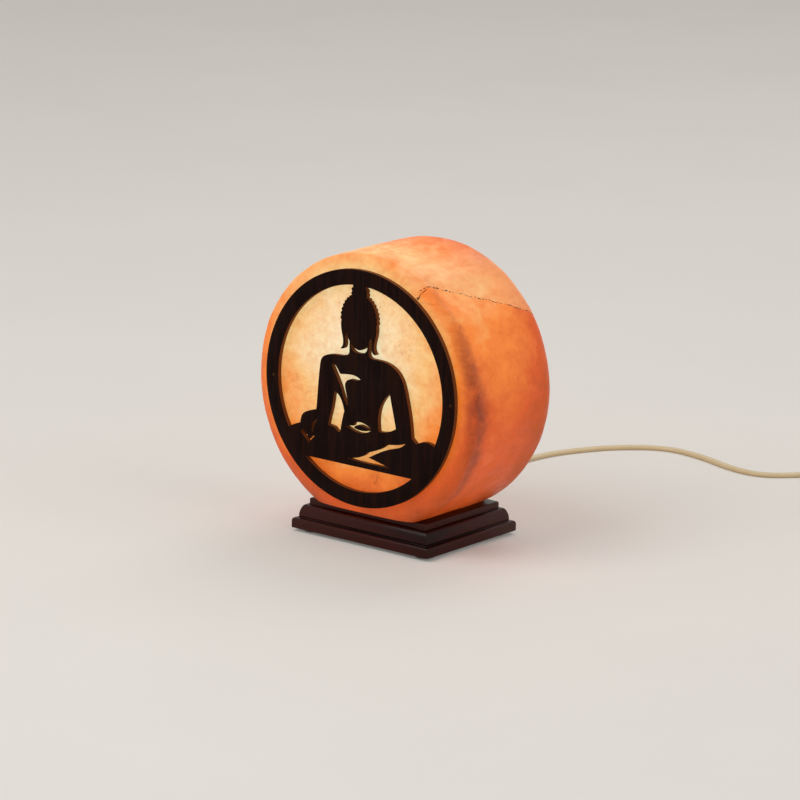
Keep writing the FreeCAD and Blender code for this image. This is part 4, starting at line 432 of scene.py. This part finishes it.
def plastic(name, light_tone, dark_tone, smooth_at, rough_at, peel=1.0, depth=0.00004):
    """A moulded plastic or rubber between two close tones."""
    made, tree, shader, place = finish(name)
    skin = grouped(tree, moulded_skin, Vector=place, Peel=peel)
    link(tree, shader, Base_Color=blend(tree, skin["Shade"], colour(light_tone), colour(dark_tone)),
         Roughness=spread(tree, calc(tree, "ADD", skin["Scuff"], skin["Shade"]), 0.3, 1.3,
                          smooth_at, rough_at),
         Normal=bump(tree, skin["Height"], depth, 0.6))
    return made


zinc = metal("zinc_plate", "#b9bcc0", "#8b8d90", 0.24, 0.48)
paint(zinc, "base_screws", "lock_nuts", "holder_nipple", "terminal_screws", "saddle_screws",
      "clamp_screws", "switch_screws", "switch_grubs", "clip_rivets")
grey_nylon = plastic("grey_nylon", "#8f9293", "#7d8082", 0.42, 0.6)
paint(grey_nylon, "screw_plugs")

# ---- Wooden foot -------------------------------------------------------------
# One block of hardwood with a moulding run round its four sides, bored and grooved from
# below, stained dark red-brown and varnished. The run: how far in from the edge, how high.
foot_low, foot_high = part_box("wood_base")
foot_size = foot_high - foot_low
foot_middle = (foot_high + foot_low) / 2
ovolo = [(0.0032 + 0.0032 * (1 - math.cos(t)) ** 0.86, 0.0079 + 0.0071 * math.sin(t)) for t in quarter]
RUN = [(0.0004, 0.0), (0.0, 0.0004), (0.0, 0.0049), (0.0003, 0.0058), (0.0009, 0.0064), (0.0018, 0.0067),
       (0.0030, 0.0067), (0.0033, 0.0070), (0.0033, 0.0077)] + ovolo
RUN += [(0.0069, 0.0150), (0.0079, 0.0150), (0.0080, 0.0154), (0.0080, 0.0184), (0.0083, 0.0190),
        (0.0089, 0.0193)]
bpy.ops.object.select_all(action="DESELECT")
bpy.ops.mesh.primitive_plane_add(size=1, location=(foot_middle.x, foot_middle.y, foot_low.z))
bpy.ops.transform.resize(value=(foot_size.x - 2 * RUN[0][0], foot_size.y - 2 * RUN[0][0], 1))
foot = named("moulded_foot")
pick(foot, "FACE", lambda face: True)
for (inset, height), (next_inset, next_height) in zip(RUN, RUN[1:]):
    bpy.ops.mesh.extrude_region_move(TRANSFORM_OT_translate={"value": (0, 0, next_height - height)})
    bpy.ops.transform.resize(value=((foot_size.x - 2 * next_inset) / (foot_size.x - 2 * inset),
                                    (foot_size.y - 2 * next_inset) / (foot_size.y - 2 * inset), 1))
bpy.ops.mesh.select_all(action="SELECT")
bpy.ops.mesh.normals_make_consistent(inside=False)
bpy.ops.object.mode_set(mode="OBJECT")
modify(foot, "BEVEL", width=0.0005, segments=3, limit_method="ANGLE", angle_limit=math.radians(50))
HOLE_RADIUS, RECESS_RADIUS, RECESS_DEPTH = 0.023, 0.030, 0.010
below, over = foot_low.z - OVERCUT, foot_high.z + OVERCUT
drills = [rod("drill", HOLE_RADIUS, (0, BORE_Y, below), (0, BORE_Y, over), 72),
          rod("drill", RECESS_RADIUS, (0, BORE_Y, below), (0, BORE_Y, foot_low.z + RECESS_DEPTH), 72)]
# The groove for the lead runs from the hole out through the back.
GROOVE_WIDTH, GROOVE_LENGTH, GROOVE_DEPTH = 0.008, 0.055, 0.0055
bpy.ops.mesh.primitive_cube_add(size=1, location=(0, BORE_Y + GROOVE_LENGTH / 2, foot_low.z),
                                scale=(GROOVE_WIDTH, GROOVE_LENGTH, 2 * GROOVE_DEPTH))
drills.append(named("router"))
SCREW_HOLE, SCREW_SINK, SINK_DEPTH = 0.0022, 0.0038, 0.0018
for x, y in plug_places:
    drills.append(rod("drill", SCREW_HOLE, (x, y, below), (x, y, over)))
    drills.append(rod("drill", SCREW_SINK, (x, y, below), (x, y, foot_low.z + SINK_DEPTH)))
bore(foot, *drills)
smooth(foot, 32)

# Wood grain along Z of the given coordinates: broad rings and fine open pores.
wood_grain, inside, outside = new_group(
    "wood_grain", [("Vector", "Vector"), ("Rings", "Float"), ("Pores", "Float")],
    [("Figure", "Float"), ("Pore", "Float")])
lengthwise = stretched(wood_grain, inside.outputs["Vector"], 1.0, 1.0, 0.09)
bend = noise(wood_grain, lengthwise, 30, 4.0, 0.5)
ring_noise = calc(wood_grain, "MULTIPLY", bend, inside.outputs["Rings"])
ring_wave = calc(wood_grain, "MULTIPLY_ADD", calc(wood_grain, "SINE", ring_noise), 0.5, 0.5)
fibres = noise(wood_grain, stretched(wood_grain, lengthwise, 1.0, 1.0, 0.5), 1400, 4.0, 0.6)
figure = calc(wood_grain, "MULTIPLY_ADD", fibres, 0.55, calc(wood_grain, "MULTIPLY", ring_wave, 0.45))
pore = noise(wood_grain, stretched(wood_grain, lengthwise, 1.0, 1.0, 0.35), inside.outputs["Pores"], 2.0)
wood_grain.links.new(figure, outside.inputs["Figure"])
wood_grain.links.new(spread(wood_grain, pore, 0.56, 0.68), outside.inputs["Pore"])

varnish, tree, shader, place = finish("dark_varnish", Coat_Weight=0.12, Coat_Roughness=0.16, IOR=1.4,
                                      Specular_IOR_Level=0.12)
along_x = node(tree, "Mapping", {"Vector": place, "Rotation": (0, math.radians(90), 0)}).outputs[0]
grain = grouped(tree, wood_grain, Vector=along_x, Rings=58.0, Pores=2400.0)
stain = blend(tree, grain["Figure"], colour("#080202"), colour("#1d0605"))
stain = blend(tree, calc(tree, "MULTIPLY", grain["Pore"], 0.75), stain, colour("#040101"))
# Painted highlight: the sharp convex edges of the moulding are painted a lighter red.
edge_highlight = node(tree, "NewGeometry").outputs["Pointiness"]
stain = blend(tree, spread(tree, edge_highlight, 0.53, 0.60, 0.0, 0.5), stain, colour("#4f1a12"))
dusty = spread(tree, noise(tree, place, 60, 5.0, 0.6), 0.4, 0.7)
link(tree, shader, Base_Color=stain, Roughness=spread(tree, dusty, 0.0, 1.0, 0.30, 0.46),
     Normal=bump(tree, calc(tree, "SUBTRACT", grain["Figure"], grain["Pore"]), 0.00007, 0.5))
foot.data.materials.append(varnish)
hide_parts("wood_base")
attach(foot, "lamp")

# ---- Felt pads ---------------------------------------------------------------
# Four stick-on discs of black wool felt, punched from sheet, one near each corner.
pads_low, pads_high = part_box("base_feet")
PAD_RADIUS = 0.006
PAD_CENTRE = (pads_low.x + PAD_RADIUS, pads_low.y + PAD_RADIUS)
pad = rod("felt_pads", PAD_RADIUS, (*PAD_CENTRE, pads_low.z), (*PAD_CENTRE, pads_high.z), 40)
pick(pad, "FACE", lambda face: abs(face.normal.z) > 0.9)
bpy.ops.mesh.inset(thickness=0.0008)
bpy.ops.mesh.inset(thickness=0.0014)
bpy.ops.object.mode_set(mode="OBJECT")
modify(pad, "BEVEL", width=0.00035, segments=2, limit_method="ANGLE", angle_limit=math.radians(50))
pads = [pad]
for x in (PAD_CENTRE[0], -PAD_CENTRE[0]):
    for y in (PAD_CENTRE[1], pads_high.y - PAD_RADIUS):
        shift = Vector((x - PAD_CENTRE[0], y - PAD_CENTRE[1], 0))
        if shift.length > 0:
            only(pad)
            bpy.ops.object.duplicate_move(TRANSFORM_OT_translate={"value": shift})
            pads.append(bpy.context.object)
only(*pads)
bpy.ops.object.join()
pads = smooth(named("felt_pads"))
felt, tree, shader, place = finish("black_felt", Roughness=0.95, Sheen_Weight=0.5, Sheen_Roughness=0.6)
hairs = noise(tree, place, 3200, 4.0, 0.7, 1.5)
matted = noise(tree, place, 600, 3.0)
link(tree, shader, Normal=bump(tree, hairs, 0.00015, 0.8),
     Base_Color=blend(tree, spread(tree, calc(tree, "ADD", hairs, matted), 0.7, 1.3),
                      colour("#161515"), colour("#34302f")))
pads.data.materials.append(felt)
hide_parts("base_feet")
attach(pads, "lamp")

# ---- Fretwork panel ----------------------------------------------------------
# A ring with a seated figure in it, cut by laser from one sheet of 3 mm walnut-faced
# board, grain upright. The cut edges are scorched brown, the face is stained nearly black.


def dressed(name, source, width=0.0003, segments=2, sharper=38):
    """A finished copy of a CAD node: welded, its flat faces whole, its sharp edges eased."""
    piece = nodes[source].copy()
    piece.data = nodes[source].data.copy()
    bpy.context.scene.collection.objects.link(piece)
    piece.parent = None
    piece.hide_render = piece.hide_viewport = False
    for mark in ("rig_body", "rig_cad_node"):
        del piece[mark]
    piece.data.materials.clear()
    only(piece)
    bpy.ops.object.mode_set(mode="EDIT")
    bpy.ops.mesh.select_all(action="SELECT")
    bpy.ops.mesh.remove_doubles(threshold=1e-6)
    bpy.ops.mesh.dissolve_limited(angle_limit=math.radians(0.6))
    bpy.ops.object.mode_set(mode="OBJECT")
    modify(piece, "BEVEL", width=width, segments=segments, limit_method="ANGLE",
           angle_limit=math.radians(sharper), use_clamp_overlap=True)
    only(piece)
    smooth(named(name), sharper)
    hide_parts(source)
    return piece


panel = dressed("fretwork_panel", "front_panel", width=0.00018)
walnut, tree, shader, place = finish("scorched_walnut", Specular_IOR_Level=0.06, IOR=1.4)
grain = grouped(tree, wood_grain, Vector=place, Rings=90.0, Pores=2100.0)
face_on = calc(tree, "ABSOLUTE", node(tree, "SeparateXYZ", {
    0: node(tree, "TexCoord").outputs["Normal"]}).outputs["Y"])
cut_edge = spread(tree, face_on, 0.45, 0.9, 1.0, 0.0)
board = blend(tree, grain["Figure"], colour("#090303"), colour("#2b140d"))
board = blend(tree, calc(tree, "MULTIPLY", grain["Pore"], 0.8), board, colour("#060303"))
plies = noise(tree, stretched(tree, place, 0.2, 1.0, 0.2), 1500, 2.0)
scorch = blend(tree, plies, colour("#5a3018"), colour("#8a5028"))
link(tree, shader, Base_Color=blend(tree, cut_edge, board, scorch),
     Roughness=spread(tree, grain["Figure"], 0.2, 0.8, 0.42, 0.62),
     Normal=bump(tree, calc(tree, "SUBTRACT", grain["Figure"], grain["Pore"]), 0.00010, 0.6))
panel.data.materials.append(walnut)
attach(panel, "lamp")

# ---- Panel pins and adhesive -------------------------------------------------
# A small brass pin through each side of the ring, and dabs of clear adhesive behind it.
brass = metal("brass", "#c9a24e", "#8f6f35", 0.22, 0.42)
pins = dressed("brass_pins", "panel_pins", width=0.00025, segments=3)
pins.data.materials.append(metal("aged_brass", "#4a3518", "#20160b", 0.4, 0.65))
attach(pins, "lamp")
paint(brass, "screw_shell", "centre_contact", "switch_terminals", "rocker_bridge")

adhesive, tree, shader, place = finish("clear_adhesive", Transmission_Weight=0.85, IOR=1.47)
bubbles = noise(tree, place, 1800, 3.0)
link(tree, shader, Roughness=spread(tree, bubbles, 0.3, 0.7, 0.08, 0.3),
     Base_Color=blend(tree, bubbles, colour("#efe6d2"), colour("#d8c9a8")),
     Normal=bump(tree, bubbles, 0.0001, 0.4))
paint(adhesive, "panel_adhesive")

# ---- Bracket under the foot --------------------------------------------------
# A round zinc-plated plate closes the bore from below. Three strips of spring steel,
# riveted on, press outwards in the foot's hole; a threaded tube and two nuts carry the holder.
plate = dressed("bracket_plate", "holder_plate", width=0.0002)
plate.data.materials.append(zinc)
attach(plate, "lamp")
spring_steel = metal("spring_steel", "#8e9094", "#5f6164", 0.22, 0.4, scratches=0.9)
clips = dressed("spring_strips", "spring_clips", width=0.0001)
clips.data.materials.append(spring_steel)
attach(clips, "lamp")

# ---- Lamp holder -------------------------------------------------------------
# A small screw-in holder: a cap and a sleeve of black phenolic, screwed together round a
# white ceramic core with a threaded brass shell and a sprung brass contact.
phenolic = plastic("black_phenolic", "#1d1b1a", "#121110", 0.25, 0.5)
paint(phenolic, "holder_cap", "holder_sleeve")
ceramic = plastic("white_ceramic", "#e9e6de", "#dcd7cb", 0.12, 0.3, peel=0.5)
paint(ceramic, "holder_core")

# ---- Bulb --------------------------------------------------------------------
# A 15 W bulb: clear blown glass round a glass stem, two lead-in wires and a hot filament,
# cemented into a nickel-plated threaded cap with a black glass insulator and a soldered tip.
nickel = metal("nickel_plate", "#c6c3bb", "#96938b", 0.18, 0.38)
paint(nickel, "bulb_cap", "bulb_wires")
paint(metal("solder", "#a9a9a6", "#7f7f7c", 0.35, 0.6, scratches=0.2), "bulb_tip")
paint(plastic("black_glass", "#101012", "#1b1b1f", 0.06, 0.2, peel=0.3), "bulb_insulator")


def glass(name, tint, tint_low, clear):
    """Blown glass with faint ripples and finger marks."""
    made, tree, shader, place = finish(name, Transmission_Weight=clear, IOR=1.5)
    marks = noise(tree, place, 220, 5.0, 0.6)
    link(tree, shader, Roughness=spread(tree, marks, 0.5, 0.75, 0.01, 0.12),
         Base_Color=blend(tree, marks, colour(tint), colour(tint_low)),
         Normal=bump(tree, noise(tree, place, 60, 1.0), 0.0002, 0.3))
    return made


paint(glass("clear_glass", "#ffffff", "#f6f7f4", 1.0), "bulb_glass")
paint(glass("stem_glass", "#eef2ea", "#dfe6da", 0.9), "bulb_stem")
hot_wire, tree, shader, place = finish("hot_filament", Roughness=0.5, Emission_Strength=4.0)
heat = noise(tree, stretched(tree, place, 1.0, 0.1, 0.1), 2500, 2.0)
link(tree, shader, Base_Color=blend(tree, heat, colour("#6b5a48"), colour("#8a7458")),
     Emission_Color=blend(tree, heat, colour("#ffb050"), colour("#ffd890")))
paint(hot_wire, "bulb_filament")

# ---- Flat twin lead ----------------------------------------------------------
# Two insulated cores side by side under one cream PVC skin, 5.5 by 2.8 mm. It leaves the
# foot at the back, through a rubber grommet, and runs loosely over the table to the switch.
LEAD_WIDTH, LEAD_THICK = 0.0055, 0.0028
LOBE = LEAD_THICK / 2
LOBE_OUT = LEAD_WIDTH / 2 - LOBE
section = []
for side in (1, -1):
    for degrees in range(-110, 111, 20):
        turn = math.radians(degrees)
        section.append((side * (LOBE_OUT + LOBE * math.cos(turn)), side * LOBE * math.sin(turn)))
lead_section = bpy.data.objects.new("lead_section", bpy.data.curves.new("lead_section", "CURVE"))
bpy.context.scene.collection.objects.link(lead_section)
lead_section.data.dimensions = "2D"
ring = lead_section.data.splines.new("POLY")
ring.points.add(len(section) - 1)
for point, (across_lead, up) in zip(ring.points, section):
    point.co = (across_lead, up, 0, 1)
ring.use_cyclic_u = True
lead_section.hide_render = lead_section.hide_viewport = True

cream_pvc = plastic("cream_pvc", "#e3cfa6", "#d6be90", 0.34, 0.5, peel=0.6)


def lead(name, points, fineness=8):
    """The flat lead along a smooth spline of these points, in millimetres."""
    made = bpy.data.curves.new(name, "CURVE")
    made.dimensions = "3D"
    spline = made.splines.new("NURBS")
    spline.points.add(len(points) - 1)
    for point, where in zip(spline.points, points):
        point.co = (*[amount / 1000 for amount in where], 1)
    spline.order_u = 3
    spline.use_endpoint_u = True
    spline.resolution_u = fineness
    made.twist_mode = "Z_UP"
    made.bevel_mode = "OBJECT"
    made.bevel_object = lead_section
    made.use_fill_caps = True
    piece = bpy.data.objects.new(name, made)
    bpy.context.scene.collection.objects.link(piece)
    made.materials.append(cream_pvc)
    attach(piece, "lamp")
    return piece


TO_SWITCH = [
    (0, 46, 4.2), (0, 74, 4.2), (-8, 92, 2.4), (-22, 112, 1.4), (-36, 134, 1.4), (-46, 158, 1.4),
    (-49, 184, 1.4), (-47, 210, 1.4), (-40, 231, 1.4), (-25, 259, 1.4), (2, 281.5, 1.4), (34, 278, 1.4),
    (66, 266, 1.4), (90, 265, 1.4), (107.5, 281.5, 1.4), (117, 298, 1.7), (128.5, 308, 4.0),
    (144.5, 311.5, 6.0), (159, 311.5, 6.0),
]
lead_to_switch = lead("lead_to_switch", TO_SWITCH, fineness=12)
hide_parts("cord_lead")
paint(cream_pvc, "groove_lead")
paint(plastic("core_pvc", "#b9402c", "#a23423", 0.35, 0.5), "inner_wires", "switch_wires")
paint(plastic("saddle_plastic", "#ddd7c8", "#cfc8b6", 0.4, 0.55), "cord_saddle")

# ---- Grommet -----------------------------------------------------------------
# A cream rubber grommet sits in the mouth of the groove behind a flange. Its tapered,
# ribbed tail keeps the lead from being bent sharply. Sections: y in metres, then width,
# height and rise in millimetres.
LEAD_RISE = 0.0042
SECTIONS = [(0.0405, 7.6, 5.1, 4.55), (0.0460, 7.6, 5.1, 4.55), (0.0460, 11.8, 8.3, 4.75),
            (0.0475, 11.8, 8.3, 4.75), (0.0475, 9.2, 6.8, 4.2)]
for rib in range(4):
    start, share = 0.0488 + 0.0042 * rib, 1 - 0.22 * (rib / 4)
    wide, high = 9.2 * share, 6.8 * (1 - 0.30 * (rib / 4))
    SECTIONS += [(start, wide, high, 4.2), (start + 0.0002, wide - 1.1, high - 1.1, 4.2),
                 (start + 0.0014, wide - 1.2, high - 1.2, 4.2), (start + 0.0016, wide - 0.15, high - 0.15, 4.2)]
SECTIONS += [(0.0655, 7.1, 4.5, 4.2), (0.0660, 6.6, 4.0, 4.2)]
bpy.ops.object.select_all(action="DESELECT")
bpy.ops.mesh.primitive_plane_add(size=0.001, location=(0, SECTIONS[0][0], SECTIONS[0][3] / 1000),
                                 rotation=(math.radians(90), 0, 0))
grommet = named("ribbed_grommet")
pick(grommet, "FACE", lambda face: True)
bpy.ops.transform.resize(value=(SECTIONS[0][1], 1, SECTIONS[0][2]))
for before, after in zip(SECTIONS, SECTIONS[1:]):
    move = (0, after[0] - before[0], (after[3] - before[3]) / 1000)
    bpy.ops.mesh.extrude_region_move(TRANSFORM_OT_translate={"value": move})
    bpy.ops.transform.resize(value=(after[1] / before[1], 1, after[2] / before[2]))
bpy.ops.mesh.select_all(action="SELECT")
bpy.ops.mesh.normals_make_consistent(inside=False)
bpy.ops.object.mode_set(mode="OBJECT")
pick(grommet, "EDGE", lambda edge: abs((grommet.data.vertices[edge.vertices[0]].co
                                        - grommet.data.vertices[edge.vertices[1]].co).normalized().y) > 0.2)
bpy.ops.mesh.bevel(offset=0.0016, segments=4)
bpy.ops.object.mode_set(mode="OBJECT")
bpy.ops.mesh.primitive_cube_add(size=1, location=(0, 0.053, LEAD_RISE),
                                scale=(LEAD_WIDTH + 0.0002, 0.030, LEAD_THICK + 0.0002))
bore(grommet, named("slot_cutter"))
modify(grommet, "BEVEL", width=0.0002, segments=2, limit_method="ANGLE", angle_limit=math.radians(50))
smooth(grommet, 40)
cream_rubber = plastic("cream_rubber", "#d9c59d", "#cbb589", 0.55, 0.72, peel=1.0)
grommet.data.materials.append(cream_rubber)
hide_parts("cord_grommet")
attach(grommet, "lamp")

# ---- In-line switch ----------------------------------------------------------
# A two-pole rocker switch in a screwed case of white plastic, with the lead clamped at
# both its ends. The rocker lies on its "on" side. Its marks are a ring and a bar.
switch_white = plastic("switch_plastic", "#e6e2d8", "#dad5c8", 0.30, 0.46)
for name, source in (("switch_lower_case", "switch_base"), ("switch_upper_case", "switch_cover")):
    case = dressed(name, source, width=0.0005, segments=3)
    case.data.materials.append(switch_white)
    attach(case, "lamp")
rocker = dressed("rocker_key", "switch_rocker", width=0.0004, segments=3)
rocker_plastic = plastic("rocker_plastic", "#d8d2c2", "#cbc4b2", 0.24, 0.4)
rocker.data.materials.append(rocker_plastic)
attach(rocker, "rocker")
switch_low, switch_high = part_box("switch_cover")
switch_middle = (switch_low + switch_high) / 2
MARK_OUT, MARK_HIGH, MARK_LINE = 0.0152, 0.00015, 0.00028
bpy.ops.object.select_all(action="DESELECT")
bpy.ops.mesh.primitive_torus_add(major_segments=40, minor_segments=8, major_radius=0.0017,
                                 minor_radius=MARK_LINE,
                                 location=(switch_middle.x - MARK_OUT, switch_middle.y, switch_high.z))
bpy.ops.transform.resize(value=(1, 1, MARK_HIGH / MARK_LINE))
ring_mark = named("ring_mark")
bpy.ops.mesh.primitive_cube_add(size=1, location=(switch_middle.x + MARK_OUT, switch_middle.y,
                                                  switch_high.z),
                                scale=(0.0006, 0.0038, 2 * MARK_HIGH))
bar_mark = named("bar_mark")
modify(bar_mark, "BEVEL", width=0.0001, segments=2)
only(ring_mark, bar_mark)
bpy.ops.object.join()
marks = smooth(named("switch_marks"))
marks.data.materials.append(plastic("mark_ink", "#4a4740", "#3a3832", 0.5, 0.65))
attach(marks, "lamp")
paint(switch_white, "switch_clamps")

# ---- Put-away lead -----------------------------------------------------------
# From the switch the same lead goes into a neat flat coil of six turns in two layers,
# spiralling in and out again, held by a plastic strap, and then to the plug.
COIL = (204.0, 236.0)
COIL_INNER, COIL_PITCH, COIL_LIFT, COIL_FLOOR = 23.0, 6.2, 3.6, 2.4
LAYER_TURNS, POINTS_PER_TURN = 3, 16
TO_COIL = [(203, 311.5, 6.0), (217, 311.5, 6.0), (231.5, 307, 5.2), (241.5, 297.5, 3.9),
           (245.6, 284.5, 2.7), (246.2, 266, 2.4), (245.6, 250.5, 2.4)]
turns = []
for step in range(2 * LAYER_TURNS * POINTS_PER_TURN + 1):
    turned = step / POINTS_PER_TURN
    radius = COIL_INNER + abs(LAYER_TURNS - turned) * COIL_PITCH
    climb = min(max((turned - LAYER_TURNS + 0.25) / 0.5, 0), 1) * COIL_LIFT
    angle = -2 * math.pi * turned
    turns.append((COIL[0] + radius * math.cos(angle), COIL[1] + radius * math.sin(angle),
                  COIL_FLOOR + climb))
TO_PLUG = [(245.6, 230.5, 6.0), (245.6, 219.5, 6.0), (246.5, 210, 6.95), (246.5, 200.5, 6.95)]
lead_to_plug = lead("lead_to_plug", TO_COIL + turns + TO_PLUG, fineness=5)
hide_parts("cord_tail", "cord_coil", "cord_end")
tie = dressed("coil_strap", "coil_tie", width=0.0003, segments=3)
tie.data.materials.append(plastic("strap_plastic", "#cfc7b4", "#c0b7a2", 0.38, 0.55))
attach(tie, "lamp")

# ---- Mains plug --------------------------------------------------------------
# A flat two-pin plug, moulded in one with a ribbed sleeve over the lead. The nickel-plated
# pins are sleeved in black for half their length.
plug = dressed("moulded_plug", "plug_body", width=0.0006, segments=3)
plug.data.materials.append(plastic("plug_pvc", "#e0cca4", "#d2bb8e", 0.36, 0.52))
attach(plug, "lamp")
plug_pins = dressed("plug_contacts", "plug_pins", width=0.0004, segments=3)
plug_pins.data.materials.append(nickel)
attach(plug_pins, "lamp")
sleeves = dressed("contact_sleeves", "pin_sleeves", width=0.00015)
sleeves.data.materials.append(plastic("sleeve_plastic", "#1d1c1b", "#141312", 0.4, 0.55))
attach(sleeves, "lamp")

# ---- Studio ------------------------------------------------------------------
# A pale table under a pale sky, soft lights at a plain level, and a camera with a long lens
# at the height and turn from which the lamp was looked at.
PALE = "#e9e6e1"


def pale_stage(name, strength):
    """A pale matt surface that also glows a little for the eye, and for metal and glass."""
    made, tree, shader, place = finish(name, Roughness=0.8)
    mottled = noise(tree, place, 6, 3.0)
    link(tree, shader, Base_Color=blend(tree, mottled, colour("#dcd8d2"), colour("#e2ded8")))
    ray = node(tree, "LightPath").outputs
    seen = calc(tree, "MAXIMUM", calc(tree, "MAXIMUM", ray["Is Camera Ray"], ray["Is Glossy Ray"]),
                ray["Is Transmission Ray"])
    link(tree, shader, Emission_Strength=calc(tree, "MULTIPLY", seen, strength))
    shader.inputs["Emission Color"].default_value = colour(PALE)
    return made


bpy.ops.object.select_all(action="DESELECT")
bpy.ops.mesh.primitive_plane_add(size=12, location=(0, 0, 0))
table = named("table_top")
table.data.materials.append(pale_stage("pale_table", 0.16))

world = bpy.data.worlds.new("studio")
bpy.context.scene.world = world
world.use_nodes = True
sky = world.node_tree
ray = node(sky, "LightPath").outputs
seen = calc(sky, "MAXIMUM", calc(sky, "MAXIMUM", ray["Is Camera Ray"], ray["Is Glossy Ray"]),
            ray["Is Transmission Ray"])
background = sky.nodes["Background"]
background.inputs["Color"].default_value = colour(PALE)
sky.links.new(spread(sky, seen, 0.0, 1.0, 0.42, 0.95), background.inputs["Strength"])

TARGET = Vector((-0.00503, 0.0010, 0.08475))
AZIMUTH, ELEVATION, ROLL = math.radians(38.51), math.radians(14.033), math.radians(1.097)
DISTANCE = 3.0
LENS, SENSOR = 215.8, 36.0


def studio_lamp(name, azimuth, elevation, distance, size, power):
    """A square soft light that looks at the lamp; azimuth 0 is in front, 90 to its right."""
    turn, rise = math.radians(azimuth), math.radians(elevation)
    away = Vector((math.sin(turn) * math.cos(rise), -math.cos(turn) * math.cos(rise), math.sin(rise)))
    bpy.ops.object.light_add(type="AREA", location=TARGET + away * distance,
                             rotation=away.to_track_quat("Z", "Y").to_euler())
    lamp = bpy.context.object
    lamp.name = name
    lamp.data.size = size
    lamp.data.energy = power


studio_lamp("key_light", -20, 50, 2.0, 1.4, 16)
studio_lamp("fill_light", 95, 30, 2.4, 1.6, 9)
studio_lamp("back_light", 190, 55, 2.2, 1.2, 8)

back = Vector((math.sin(AZIMUTH) * math.cos(ELEVATION), -math.cos(AZIMUTH) * math.cos(ELEVATION),
               math.sin(ELEVATION)))
bpy.ops.object.camera_add(location=TARGET + back * DISTANCE)
camera = bpy.context.object
camera.rotation_euler = back.to_track_quat("Z", "Y").to_euler()
bpy.context.view_layer.update()
camera.rotation_euler.rotate_axis("Z", ROLL)
camera.data.lens = LENS
camera.data.sensor_width = SENSOR
camera.data.sensor_fit = "HORIZONTAL"
camera.data.clip_end = 50
bpy.context.scene.camera = camera
bpy.context.scene.view_settings.view_transform = "Standard"
